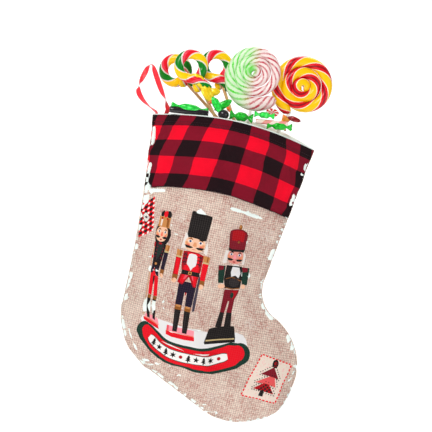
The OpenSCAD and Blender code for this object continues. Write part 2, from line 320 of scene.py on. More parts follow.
def crinkle_group():
    """Sharp creases of thin film, from a stretched cell pattern."""
    tree, sh, given, out = new_group("film_creases", [("Vector", VECTOR, None), ("Scale", VALUE, 160.0)],
        [("Height", VALUE)])
    cells = sh.add("ShaderNodeTexVoronoi", feature="DISTANCE_TO_EDGE")
    sh.put(cells.inputs["Vector"], given["Vector"])
    sh.put(cells.inputs["Scale"], given["Scale"])
    fine = sh.times(sh.noise(given["Vector"], 90, 2), 0.4)
    sh.put(out["Height"], sh.plus(cells.outputs["Distance"], fine))
    return tree


WEAVE, SLUB, ROPE, CRINKLE = weave_group(), slub_group(), rope_group(), crinkle_group()


def new_material(name, **constants):
    """A material with one Principled shader; constants go straight on its sockets."""
    mat = bpy.data.materials.new(name)
    mat.use_nodes = True
    sh = Shader(mat.node_tree)
    sh.material, sh.shader = mat, mat.node_tree.nodes["Principled BSDF"]
    sh.feed(sh.shader, **constants)
    return sh, sh.add("ShaderNodeTexCoord").outputs


def toned(colour, share, lift=0.0):
    """A colour made darker or lighter."""
    return tuple(min(1, c * share + lift) for c in colour[:3]) + (1,)


def hue(r, g, b):
    """A colour given as 0-255 display values, as linear light."""
    shown = [c / 255 for c in (r, g, b)]
    return tuple(c / 12.92 if c <= 10 / 255 else ((c + 0.055) / 1.055) ** 2.4 for c in shown) + (1,)


# ------------------------------------------------------------------ cloth materials

BURLAP = hue(234, 216, 201)
BURLAP_DARK = hue(176, 92, 84)
PLAID_EDGE = 60                              # how sharply a plaid band ends


def burlap_colour(sh, where, ground):
    """Ground colour with the printed yarn flecks over it and painted shade in the gaps between threads; also
    gives the weave's height.
    """
    flecks = sh.group(SLUB, Vector=where, Density=0.92)
    weave = sh.group(WEAVE, Vector=where, Pitch=0.0027, Wander=0.35)
    fleck = sh.math("MAXIMUM", flecks["Across"], flecks["Along"])
    # the flecks gather in patches, and the ground is greyer there
    patch = sh.plus(0.34, sh.times(flecks["Blotch"], 0.42))
    tone = sh.mix(sh.times(flecks["Blotch"], 0.36), ground, hue(204, 176, 163))
    tone = sh.mix(sh.times(fleck, patch), tone, BURLAP_DARK)
    # painted shade: the gaps between the threads are darkened toward a dark brown
    painted_gap_shade = sh.math("POWER", sh.minus(1, weave["Shade"]), 1.8)
    tone = sh.mix(sh.times(painted_gap_shade, 0.85), tone, hue(84, 62, 56))
    return tone, weave["Height"]


def burlap_material(name, printed):
    sh, coords = new_material(name, Roughness=0.95, Sheen_Weight=0.02, Specular_IOR_Level=0.08)
    tone, height = burlap_colour(sh, coords["Object"], BURLAP)
    if printed:
        ink = sh.add("ShaderNodeVertexColor", layer_name="ink")
        # ink sits on the yarns, so the weave still shows a little through it
        rubbed = sh.mix(sh.times(sh.minus(1, height), 0.03), ink.outputs["Color"], BURLAP)
        tone = sh.mix(ink.outputs["Alpha"], tone, rubbed)
    return sh.paint(tone, height, 0.28, 0.0003)


def plaid_material():
    """Buffalo plaid: dark bands cross in columns and rows; where two cross it is black."""
    sh, coords = new_material("plaid_cloth", Roughness=0.9, Sheen_Weight=0.02, Specular_IOR_Level=0.1)
    split = sh.split(coords["UV"])
    bands = []
    for axis, shift in (("X", 0.5), ("Y", 0.0)):
        place = sh.math("MODULO", sh.plus(split[axis], 40 + shift), 2.0)
        edge = sh.times(sh.minus(sh.math("ABSOLUTE", sh.minus(place, 0.5)), 0.5), PLAID_EDGE)
        wrap = sh.times(sh.minus(2.0, place), PLAID_EDGE)
        dark = sh.math("MAXIMUM", sh.minus(0.5, edge, True), sh.minus(0.5, wrap, True))
        bands.append(sh.math("MINIMUM", dark, 1.0))
    weave = sh.group(WEAVE, Vector=coords["Object"], Pitch=0.0007, Wander=0.25)
    one = sh.math("MAXIMUM", bands[0], bands[1])
    both = sh.times(bands[0], bands[1])
    tone = sh.mix(one, hue(246, 8, 42), hue(130, 16, 38))
    tone = sh.mix(both, tone, hue(22, 15, 19))
    # twill lines: the crossing yarns leave fine lighter marks in the dark bands; where the cloth is lighter
    # than the mark colour, the same marks are painted shade in the gaps between threads
    marks = sh.times(sh.minus(1, weave["Shade"]), 0.16)
    tone = sh.mix(marks, tone, hue(96, 20, 34))
    drift = sh.times(sh.spread(sh.noise(coords["Object"], 55, 2), 0.3, 0.7), 0.10)
    tone = sh.mix(drift, tone, hue(60, 8, 18))
    return sh.paint(tone, weave["Height"], 0.22, 0.0002)


def plain_cloth(name, colour, pitch):
    sh, coords = new_material(name, Roughness=0.8, Sheen_Weight=0.2, Specular_IOR_Level=0.25)
    weave = sh.group(WEAVE, Vector=coords["Object"], Pitch=pitch, Wander=0.3)
    shade = sh.times(sh.minus(1, weave["Shade"]), 0.25)
    return sh.paint(sh.mix(shade, colour, toned(colour, 0.55)), weave["Height"], 0.25, 0.0002)


def satin_material():
    """Ribbon satin: fine ribs across the width, a strong soft shine along them, and a painted highlight on each
    rib's crest.
    """
    sh, coords = new_material("ribbon_satin", Roughness=0.36, Sheen_Weight=0.4, Sheen_Roughness=0.3,
                              Anisotropic=0.5, Specular_IOR_Level=0.6)
    split = sh.split(coords["UV"])
    ribs = sh.math("SINE", sh.times(split["X"], 2 * math.pi / 0.45))
    edge = sh.math("ABSOLUTE", sh.minus(split["Y"], 0.5))
    selvedge = sh.spread(edge, 0.42, 0.5)
    tone = sh.mix(sh.times(selvedge, 0.35), hue(238, 22, 44), hue(176, 10, 30))
    # painted highlight: each rib's crest is made lighter toward pale pink
    tone = sh.mix(sh.times(sh.spread(ribs, -1, 1), 0.10), tone, hue(255, 96, 104))
    return sh.paint(tone, ribs, 0.12, 0.0001)


def thread_material(name, colour):
    sh, coords = new_material(name, Roughness=0.8, Sheen_Weight=0.05, Specular_IOR_Level=0.15)
    fibre = sh.noise(sh.stretched(coords["Object"], (2500, 2500, 2500)), 1, 2)
    return sh.paint(sh.mix(sh.spread(fibre, 0.3, 0.7), colour, toned(colour, 1.8, 0.01)))


BURLAP_PRINT = burlap_material("burlap_printed", True)
BURLAP_BACK = burlap_material("burlap_plain_back", False)
PLAID = plaid_material()
LINING = plain_cloth("white_lining", hue(244, 254, 249), 0.0006)
SATIN = satin_material()
DARK_THREAD = thread_material("dark_thread", hue(38, 20, 28))
PALE_THREAD = thread_material("pale_thread", hue(205, 184, 166))
RED_THREAD = thread_material("red_thread", hue(190, 20, 40))

# ------------------------------------------------------------------ the stocking's form, as in the CAD

CORNER = np.array([0.016, 0, -0.0605])      # heel-side corner of the mouth
MOUTH_W = 206
HEEL_C, HEEL_R = np.array([95.0, 237.0]), 82.0
TOE_C, TOE_R = np.array([172.0, 282.0]), 73.5
INSTEP_R, INSTEP_V = 42.0, 178.0
CUFF_H = 89.0
MOUTH_DEPTH, LEG_DEPTH, FOOT_DEPTH = 36.0, 31.0, 26.0
RIM_ARCH, BACK_RISE = 12.0, 8.0
CUFF_ROWS, LEG_ROWS, TURN_ROWS, FOOT_ROWS = 4, 5, 9, 10
ROWS = CUFF_ROWS + LEG_ROWS + TURN_ROWS + FOOT_ROWS
FINE = 4                                     # cloth squares in each design row
COLS = 64
FRONT, BACK = -1, 1
CLOTH_FRAMES, CLOTH_MOST = 18, 5.0 * MM      # how long the cloth settles, and the furthest it may move


def arc(centre, radius, a, b, n=40):
    angle = np.radians(np.linspace(a, b, n))
    return centre + radius * np.stack([np.cos(angle), np.sin(angle)], 1)


def evenly(points, n):
    """n + 1 points evenly spread along a line of points."""
    points = np.asarray(points, dtype=float)
    steps = np.r_[0, np.cumsum(np.linalg.norm(np.diff(points, axis=0), axis=1))]
    at = np.linspace(0, steps[-1], n + 1)
    return np.stack([np.interp(at, steps, points[:, k]) for k in (0, 1)], 1)


def make_rails():
    """Heel-side and toe-side edges of the stocking, (across, down) in mm, one point for each fine row."""
    instep_c = np.array([TOE_C[0] + math.sqrt((TOE_R + INSTEP_R) ** 2 - (TOE_C[1] - INSTEP_V) ** 2), INSTEP_V])
    between = TOE_C - HEEL_C
    touch = math.degrees(math.atan2(between[1], between[0])
                         + math.acos((HEEL_R - TOE_R) / np.linalg.norm(between)))
    meet = math.degrees(math.atan2(TOE_C[1] - INSTEP_V, TOE_C[0] - instep_c[0]))
    lean, heel_end, top_end = 8, 41, 35
    p, c, q = np.array([0, 0]), np.array([15, HEEL_C[1] / 2]), HEEL_C - [HEEL_R, 0]

    def bow(a, b):
        t = np.linspace(a, b, 30)[:, None]
        return (1 - t) ** 2 * p + 2 * t * (1 - t) * c + t * t * q

    leg_foot = arc(instep_c, INSTEP_R, 180 + lean, 180 + lean, 1)[0]
    toe_top = np.array([MOUTH_W, 0])
    cuff_toe = toe_top + (leg_foot - toe_top) * CUFF_H / leg_foot[1]
    heel_arc, toe_arc = arc(HEEL_C, HEEL_R, 180, touch), arc(TOE_C, TOE_R, touch, heel_end)
    mid_sole = (heel_arc[-1] + toe_arc[0]) / 2
    heel = [bow(0, CUFF_H / HEEL_C[1]), bow(CUFF_H / HEEL_C[1], 0.8),
            np.vstack([bow(0.8, 1), heel_arc, mid_sole]), np.vstack([mid_sole, toe_arc])]
    toe = [np.array([toe_top, cuff_toe]), np.array([cuff_toe, leg_foot]),
           arc(instep_c, INSTEP_R, 180 + lean, meet), arc(TOE_C, TOE_R, meet - 180, top_end)]
    counts = [n * FINE for n in (CUFF_ROWS, LEG_ROWS, TURN_ROWS, FOOT_ROWS)]
    rails = []
    for zones in (heel, toe):
        spread = [evenly(z, n) for z, n in zip(zones, counts)]
        rails.append(np.vstack([spread[0]] + [s[1:] for s in spread[1:]]))
    return rails


HEEL_RAIL, TOE_RAIL = make_rails()
ROW_AT = np.arange(ROWS * FINE + 1) / FINE


def half_depth(s):
    foot = CUFF_ROWS + LEG_ROWS + TURN_ROWS
    body = np.interp(s, [0, CUFF_ROWS, CUFF_ROWS + LEG_ROWS, foot],
                     [MOUTH_DEPTH, MOUTH_DEPTH - 2, LEG_DEPTH, FOOT_DEPTH + 2])
    q = np.clip((s - foot) / FOOT_ROWS, 0, 1)
    return np.where(s <= foot, body, (FOOT_DEPTH + 2) * np.sqrt(1 - q * q))


def form_grid(side):
    """Places of the cloth's middle on a grid of rows down and columns across, in metres."""
    s = ROW_AT[:, None]
    t = np.linspace(0, 1, COLS + 1)[None, :]
    u = HEEL_RAIL[:, :1] * (1 - t) + TOE_RAIL[:, :1] * t
    v = HEEL_RAIL[:, 1:] * (1 - t) + TOE_RAIL[:, 1:] * t
    fade = np.where(s <= CUFF_ROWS, 1, np.clip(1 - (s - CUFF_ROWS) / LEG_ROWS, 0, 1))
    rise = RIM_ARCH * np.sin(math.pi * t)
    if side == BACK:
        rise = rise + BACK_RISE * np.sin(math.pi * t ** 1.8) * np.clip(1 - s / CUFF_ROWS, 0, 1)
    full = 1 - np.abs(2 * t - 1) ** 2.2
    y = side * (half_depth(s) * full + 1.2 * np.minimum(1, 12 * t * (1 - t)))
    grid = np.stack([u, y, -v + rise * fade], 2) * MM
    return grid + CORNER


def grid_faces(rows, cols, flip=False):
    w = cols + 1
    quads = [(i * w + j, (i + 1) * w + j, (i + 1) * w + j + 1, i * w + j + 1)
             for i in range(rows) for j in range(cols)]
    return [q[::-1] for q in quads] if flip else quads


def hang_cloth():
    """Front and back sewn together along the edge, puffed out by a cloth simulation, as two grids."""
    grids = {side: form_grid(side) for side in (FRONT, BACK)}
    rows, width = ROWS * FINE, COLS + 1
    verts = list(grids[FRONT].reshape(-1, 3))
    index = np.arange(len(verts)).reshape(rows + 1, width)
    back = np.zeros_like(index)
    for i in range(rows + 1):
        for j in range(width):
            if j in (0, COLS) or i == rows:
                back[i, j] = index[i, j]
            else:
                back[i, j] = len(verts)
                verts.append(grids[BACK][i, j])
    faces = []
    for i in range(rows):
        for j in range(COLS):
            faces.append([int(index[k]) for k in ((i, j), (i + 1, j), (i + 1, j + 1), (i, j + 1))])
            faces.append([int(back[k]) for k in ((i, j + 1), (i + 1, j + 1), (i + 1, j), (i, j))])
    form = new_piece("cloth_form", verts, faces, LINING)
    start = np.array(verts)
    result = start.copy()
    pins = form.vertex_groups.new(name="held")
    for i in range(rows + 1):
        for j in range(width):
            edge = j in (0, COLS) or i == rows
            weight = 1.0 if i < 2 else 0.55 if edge else 0.02
            for grid in (index, back):
                pins.add([int(grid[i, j])], weight, "REPLACE")
    cloth = form.modifiers.new("cloth", "CLOTH")
    cs = cloth.settings
    cs.quality = 5
    cs.mass = 0.05
    cs.tension_stiffness = cs.compression_stiffness = 12
    cs.shear_stiffness = 6
    cs.bending_stiffness = 0.06
    cs.use_pressure = True
    cs.uniform_pressure_force = 0.6
    cs.shrink_min = -0.035
    cs.vertex_group_mass = "held"
    cs.pin_stiffness = 0.6
    cs.effector_weights.gravity = 0
    cloth.collision_settings.use_collision = False
    for number in range(1, CLOTH_FRAMES + 1):
        scene.frame_set(number)
    depsgraph = bpy.context.evaluated_depsgraph_get()
    out = form.evaluated_get(depsgraph).to_mesh()
    flat = np.empty(len(out.vertices) * 3)
    out.vertices.foreach_get("co", flat)
    moved = flat.reshape(-1, 3) - start
    far = np.linalg.norm(moved, axis=1, keepdims=True)
    result = start + moved * np.minimum(1, CLOTH_MOST / np.maximum(far, 1e-9))
    scene.frame_set(1)
    bpy.data.objects.remove(form)
    return {FRONT: result[index], BACK: result[back]}


def grid_normals(grid, side):
    down = np.gradient(grid, axis=0)
    across = np.gradient(grid, axis=1)
    n = np.cross(down, across)
    n /= np.maximum(np.linalg.norm(n, axis=2, keepdims=True), 1e-12)
    return n * np.sign(n[..., 1:2] * side + 1e-9)


FORM = hang_cloth()
NORMALS = {side: grid_normals(FORM[side], side) for side in FORM}
REST = {side: form_grid(side) for side in FORM}


def layer(side, first, last, off, lift):
    """The grid between two fine rows, off metres outward, its first row raised by lift."""
    part = FORM[side][first:last + 1] + NORMALS[side][first:last + 1] * off
    part[:, [0, COLS], 1] = side * SEAM_GAP
    part[0, :, 2] += lift
    return part


def place_of(side):
    """Maps a point of the picture plane (x, z) to the hung cloth and its normal."""
    rest, form, normals = REST[side], FORM[side], NORMALS[side]
    flat = rest.reshape(-1, 3) * [1, 0, 1]
    rows = rest.shape[0] - 1
    quads = grid_faces(rows, COLS)
    tris = [t for q in quads for t in ((q[0], q[1], q[2]), (q[0], q[2], q[3]))]
    tree = BVHTree.FromPolygons([Vector(p) for p in flat], tris)
    shaped, tilts = form.reshape(-1, 3), normals.reshape(-1, 3)

    def find(x, z):
        near, _, face, _ = tree.find_nearest(Vector((x, 0, z)))
        a, b, c = (Vector(flat[k]) for k in tris[face])
        spot = barycentric_transform(near, a, b, c, *(Vector(shaped[k]) for k in tris[face]))
        tilt = barycentric_transform(near, a, b, c, *(Vector(tilts[k]) for k in tris[face]))
        return np.array(spot), unit(np.array(tilt))
    return find


FIND_FRONT = place_of(FRONT)
CUFF_END = CUFF_ROWS * FINE
LAST_ROW = ROWS * FINE


def cloth_piece(name, side, first, last, off, thickness, material, lift=0.0, uv=None):
    grid = layer(side, first, last, off, lift)
    rows = last - first
    faces = grid_faces(rows, COLS, flip=(side == BACK))
    corner_uv = None
    if uv is not None:
        corner_uv = [uv[k] for f in faces for k in f]
    obj = new_piece(name, grid.reshape(-1, 3), faces, material, corner_uv)
    return thicken(obj, thickness)


def plaid_places(side):
    """Column and row numbers of the check at each cuff point; whole numbers are band edges."""
    rest = (REST[side] - CORNER) / MM
    places = []
    for i in range(CUFF_END + 1):
        v = ROW_AT[i] / CUFF_ROWS * CUFF_H
        centre, radius, turn = 111 - 0.113 * v, 116 - 0.30 * v, 11.6 + 0.10 * v
        row = float(np.interp(v, [0, 13, 30, 50, 72, 92], [0.2, 1, 2, 3, 4, 5]))
        for j in range(COLS + 1):
            bend = np.clip((rest[i, j, 0] - centre) / radius, -0.995, 0.995)
            places.append((math.degrees(math.asin(bend)) / turn, row))
    return places


LINING_OFF, CLOTH_T, LINING_T = -0.95 * MM, 0.8 * MM, 0.6 * MM
SEAM_GAP = 0.25 * MM                         # half the gap between front and back along their seam


# ------------------------------------------------------------------ the print on the front of the leg
# Shapes are outlines in (across, down) mm from the mouth corner; later shapes lie over earlier ones.

INK = {
    "black": hue(26, 23, 24), "coal": hue(44, 40, 42), "red": hue(226, 8, 32), "deep_red": hue(170, 8, 24),
    "wine": hue(122, 16, 34), "green": hue(16, 52, 42), "snow": hue(228, 226, 226),
    "skin": hue(240, 190, 158), "tan": hue(222, 150, 104), "blush": hue(238, 116, 92),
    "gold": hue(198, 132, 74), "bronze": hue(142, 84, 36), "navy": hue(30, 20, 42),
    "blue": hue(48, 74, 128), "cream": hue(232, 214, 200), "coral": hue(222, 88, 84),
    "rose": hue(232, 76, 92), "pink": hue(246, 148, 160), "white": hue(240, 236, 232),
    "sand": hue(200, 176, 126), "rosy": hue(226, 146, 134), "stick": hue(206, 160, 128),
    "hair": hue(22, 18, 22), "steel": hue(66, 60, 74), "mist": hue(228, 220, 214),
}
shapes = []


def ink(colour, points):
    """Adds one printed shape; outlines always run the same way round."""
    pts = [(float(x), float(y)) for x, y in points]
    area = sum(a[0] * b[1] - b[0] * a[1] for a, b in zip(pts, pts[1:] + pts[:1]))
    shapes.append((colour, pts if area < 0 else pts[::-1]))


def oval(cx, cy, rx, ry, n=14, turn=0.0, a=0, b=360):
    out = []
    for k in range(n if b - a == 360 else n + 1):
        w = math.radians(a + (b - a) * k / n)
        x, y = rx * math.cos(w), ry * math.sin(w)
        c, s = math.cos(math.radians(turn)), math.sin(math.radians(turn))
        out.append((cx + x * c - y * s, cy + x * s + y * c))
    return out


def box(x0, y0, x1, y1):
    return [(x0, y0), (x1, y0), (x1, y1), (x0, y1)]


def leaning(points, about, slope):
    """Slides points sideways by slope for each mm below about."""
    return [(x + (y - about) * slope, y) for x, y in points]


def strip_along(path, half):
    """A band of even half width along a line of points."""
    p = np.asarray(path, dtype=float)
    way = np.gradient(p, axis=0)
    side = np.stack([-way[:, 1], way[:, 0]], 1)
    side /= np.linalg.norm(side, axis=1, keepdims=True)
    half = np.broadcast_to(np.asarray(half, dtype=float), (len(p),))[:, None]
    return np.vstack([p + side * half, (p - side * half)[::-1]])


def face(cx, cy, wide, tall, brow, nose, tash, skin="skin"):
    """A doll's painted face: cheeks, eyes, brows, nose and a moustache, by its half width and height."""
    def feature(colour, *points):
        ink(colour, [(cx + wide * x, cy + tall * y) for x, y in points])

    def spot(colour, x, y, rx, ry, n):
        ink(colour, oval(cx + x, cy + tall * y, wide * rx, tall * ry, n))

    spot(skin, 0, 0, 1, 1, 22)
    for side in (-1, 1):
        ink("tan", [(cx + side * wide * 0.97, cy - 1), (cx + side * wide * 0.72, cy - 1),
                    (cx + side * wide * 0.62, cy + tall * 0.7), (cx + side * wide * 0.8, cy + tall * 0.55)])
    for side in (-1, 1):
        eye = side * wide * 0.5
        spot("white", eye, -0.25, 0.2, 0.15, 12)
        spot("blue", eye, -0.24, 0.11, 0.14, 10)
        spot("black", eye, -0.24, 0.05, 0.07, 8)
        ink(brow, strip_along([(cx + eye - side * wide * 0.22, cy - tall * 0.47),
                               (cx + eye, cy - tall * 0.57),
                               (cx + eye + side * wide * 0.24, cy - tall * 0.43)], [0.4, 0.9, 0.3]))
        spot("blush", side * wide * 0.62, 0.2, 0.17, 0.14, 10)
        ink(tash, [(cx + side * 1.2, cy + tall * 0.42), (cx + side * wide * 0.45, cy + tall * 0.3),
                   (cx + side * wide * 0.98, cy + tall * 0.27), (cx + side * wide * 0.8, cy + tall * 0.56),
                   (cx + side * wide * 0.4, cy + tall * 0.6)])
    feature(nose, (-0.1, -0.2), (0.1, -0.2), (0.2, 0.24), (0, 0.34), (-0.2, 0.24))
    spot("deep_red", 0, 0.72, 0.2, 0.08, 10)


def arm(x, top, coat, wide=7.6):
    """Shoulder pad, sleeve, cuff and hand, hanging from x at the shoulder."""
    slope, length = 0.02, 30
    low = top + length

    def hung(colour, points):
        ink(colour, leaning(points, top, slope))

    hung("gold", [(x - 0.4, top), (x + wide + 0.2, top + 0.6), (x + wide, top + 8), (x + 0.4, top + 7.4)])
    hung("bronze", box(x + wide * 0.6, top + 0.8, x + wide * 0.8, top + 7.6))
    hung("sand", box(x + 0.3, top + 7.4, x + wide - 0.1, top + 9.6))
    hung(coat, [(x + 0.3, top + 9.4), (x + wide, top + 9.4), (x + wide - 0.3, low), (x + 0.9, low)])
    hung("bronze", box(x + 0.8, low, x + wide, low + 6))
    ink("skin", oval(x + wide * 0.55 + (length + 8) * slope, low + 7.6, wide * 0.42, 3.0, 14))
    ink("tan", oval(x + wide * 0.3 + (length + 8) * slope, low + 7.2, 0.9, 1.6, 8))


def buttons(x, y, count, step, lean=0.0):
    for k in range(count):
        ink("wine", oval(x + lean * k, y + step * k, 1.35, 1.35, 10))
        ink("navy", oval(x + lean * k - 0.2, y + step * k - 0.2, 0.7, 0.7, 8))


def drummer_in_tall_hat():
    """The middle figure: tall black hat, red coat, white beard."""
    ink("mist", [(72.5, 133), (78, 131), (77, 150), (71, 152)])
    ink("mist", [(101, 138), (104, 146), (103.5, 154), (99.5, 152)])
    face(87, 143.5, 12.6, 10.2, "bronze", "tan", "black")
    ink("black", [(74.2, 107), (75.6, 105.6), (99.5, 107), (100.9, 108.6), (99.6, 137), (94, 138.6),
                  (89, 136.8), (82, 136.6), (77, 137.4), (74.8, 133)])
    for k in range(9):
        x = 76 + 2.7 * k
        ink("coal", strip_along([(x, 109 + k % 3), (x + 0.5, 121), (x + 0.2, 134 - k % 2)], [0.1, 0.35, 0.1]))
    ink("skin", oval(87.5, 152.6, 5.2, 2.2, 12))
    ink("deep_red", [(75.4, 154), (82, 153), (93, 153), (100.5, 155), (101.2, 176.5), (77.6, 176.5),
                     (76, 168)])
    ink("red", [(80.5, 154.5), (95.5, 154.5), (98.4, 176.5), (79.6, 176.5)])
    ink("snow", [(82.8, 156.6), (85.5, 155.4), (90.5, 155.4), (92.6, 157), (93.8, 164), (93.4, 169),
                 (90.4, 172), (88.6, 175.8), (86.4, 172), (82.4, 168.4), (82.2, 163)])
    for x in (84.6, 87.4, 90.2):
        ink("mist", strip_along([(x, 159), (x + 0.4, 164), (88.4 + (x - 88) * 0.4, 171)], [0.2, 0.4, 0.15]))
    ink("wine", [(77.2, 155), (80.6, 155), (82.2, 170), (79, 171)])
    ink("wine", [(96, 156), (99.6, 157), (98.8, 169), (97, 170)])
    for k in range(3):
        ink("black", strip_along([(76.6 + 0.3 * k, 157 + 4.6 * k), (82, 158.4 + 4.2 * k)], 0.5))
        ink("black", strip_along([(93.6, 158 + 4.2 * k), (99.8, 157.2 + 4.6 * k)], 0.5))
    buttons(77.6, 158.4, 3, 4.6, 0.15)
    buttons(97.8, 158.6, 3, 4.3)
    arm(66.8, 153.6, "deep_red")
    ink("red", [(68.2, 163.6), (73.2, 163.6), (74.6, 183), (70, 183)])
    arm(100.6, 154.6, "red")
    ink("navy", [(78.4, 190), (100, 190), (100.2, 219), (91.4, 219), (90.6, 203), (87.4, 203), (88, 219),
                 (79.8, 219), (78.6, 200)])
    ink("deep_red", [(88, 203), (90.2, 203), (89.6, 207), (88.4, 205.6)])
    ink("deep_red", [(77.6, 181), (100, 181), (99.6, 194.4), (96, 194.6), (88.4, 183.6), (82.6, 194.4),
                     (76, 192.6)])
    ink("red", [(80.2, 181.4), (86.8, 181.4), (82.8, 192.2), (78.6, 191)])
    ink("rose", [(83.4, 181.6), (87.2, 181.6), (84.4, 186.8), (82.2, 187.8)])
    ink("red", [(91, 181.4), (97.4, 181.4), (98.6, 193.6), (96.4, 193.2)])
    ink("rose", [(91, 181.6), (93.4, 181.6), (94.8, 188), (92.8, 186)])
    ink("black", [(78.4, 176.2), (100.4, 176.2), (100.2, 181.4), (78.2, 181.6)])
    ink("gold", box(86.6, 177, 90.8, 180.8))
    ink("black", box(87.6, 178, 89.8, 179.8))
    ink("steel", leaning([(100.2, 178), (102.4, 182), (104.6, 222), (101.6, 224), (100.4, 214)], 178, 0.012))
    for x0, x1 in ((80.2, 88), (91.8, 100)):
        ink("bronze", box(x0, 219.2, x1, 225))
        ink("gold", box(x0 + 1, 219.2, x1 - 1.6, 221.4))
        ink("black", [(x0 + 0.2, 225), (x1, 225), (x1 + 1, 251.6), (x0 + 3.4, 251.6)])
        ink("coal", strip_along([(x0 + 3, 227), (x0 + 4, 238), (x0 + 5.2, 249)], [0.2, 0.6, 0.3]))


def king_in_gold_crown():
    """The left figure: gold crown over a red cap, black hair, dark coat, red trousers."""
    ink("stick", strip_along([(35.4, 152), (36.4, 178), (37.2, 205), (41.6, 244)], 0.75))
    ink("hair", [(34, 131), (38, 130), (46, 131), (51, 135), (53.4, 141), (52.2, 148), (49.6, 153), (36, 156),
                 (33.6, 148), (33, 138)])
    face(41, 141.5, 7.4, 10, "bronze", "blush", "black")
    ink("gold", [(34.4, 133.4), (34.2, 122), (33.8, 120), (36.6, 121), (41, 119), (45.6, 121), (48.4, 118.6),
                 (48, 124), (48.4, 133)])
    ink("cream", [(36.6, 124), (39, 124), (38.6, 132), (36.8, 132)])
    ink("bronze", [(43.8, 122.5), (46.6, 122), (47, 132.4), (44.4, 132.6)])
    ink("deep_red", [(36.6, 121.6), (38.6, 121), (38.2, 124), (36.8, 124)])
    ink("deep_red", [(43, 121), (45, 121.6), (44.6, 124), (43.2, 123.6)])
    ink("hair", oval(37.6, 117, 2.4, 3.8, 12, 18))
    ink("hair", oval(45.4, 116.8, 3.2, 4.4, 12, -12))
    ink("red", [(39, 114.6), (41.6, 112.8), (43.4, 114.6), (43.4, 119.6), (40.8, 121.8), (38.8, 119)])
    ink("hair", [(35, 154), (39, 152.8), (47, 152.4), (50.6, 154), (50.4, 168), (49.4, 192.6), (44.6, 190),
                 (43.6, 182), (42, 190), (38.8, 191), (38.4, 172), (36, 160)])
    ink("coal", [(38.4, 150.4), (41, 152.4), (45, 152), (47.6, 155), (47, 164), (44.6, 170), (43, 175),
                 (41, 169), (39, 161)])
    for k in range(4):
        ink("green", strip_along([(40.4 + 1.7 * k, 155), (41.2 + 1.3 * k, 163), (42.4 + 0.6 * k, 170)],
                                 [0.15, 0.4, 0.1]))
    ink("deep_red", oval(42.2, 153.4, 2.4, 1.1, 10))
    for y in (158, 162, 166, 170):
        ink("wine", oval(39.6, y, 0.8, 0.8, 8))
        ink("wine", oval(48.2, y, 0.8, 0.8, 8))
    ink("gold", oval(43.9, 178, 1.6, 1.6, 12))
    ink("deep_red", [(34.2, 153), (36, 153), (36.4, 159), (34.6, 158)])
    ink("red", [(35.4, 169), (37.6, 169), (38, 172.6), (35.8, 172.6)])
    ink("navy", [(38.8, 180), (42.4, 180), (41.4, 190.8), (38.8, 191.4)])
    ink("navy", [(44.8, 180), (49.4, 182), (49.6, 192.8), (46.4, 192.4)])
    arm(50.4, 152.6, "navy", 6)
    ink("red", [(38.8, 191), (41.4, 190), (43.6, 183), (46.2, 192.6), (49.6, 193), (52.4, 216.8),
                (47.4, 217.4), (45, 199), (44.2, 203), (44.6, 217), (40.4, 217), (38.8, 202)])
    ink("hair", [(42.6, 194), (44.8, 193.6), (45, 203.6), (43.6, 204)])
    for x0, x1, slip in ((40.4, 44.8, 4.4), (47.6, 52.6, 4.6)):
        ink("bronze", [(x0, 217.2), (x1, 217.2), (x1 + 0.6, 221.4), (x0 + 0.6, 221.4)])
        ink("black", [(x0 + 0.7, 221.4), (x1 + 0.6, 221.4), (x1 + slip + 0.6, 246.6), (x0 + slip + 1.4, 246)])


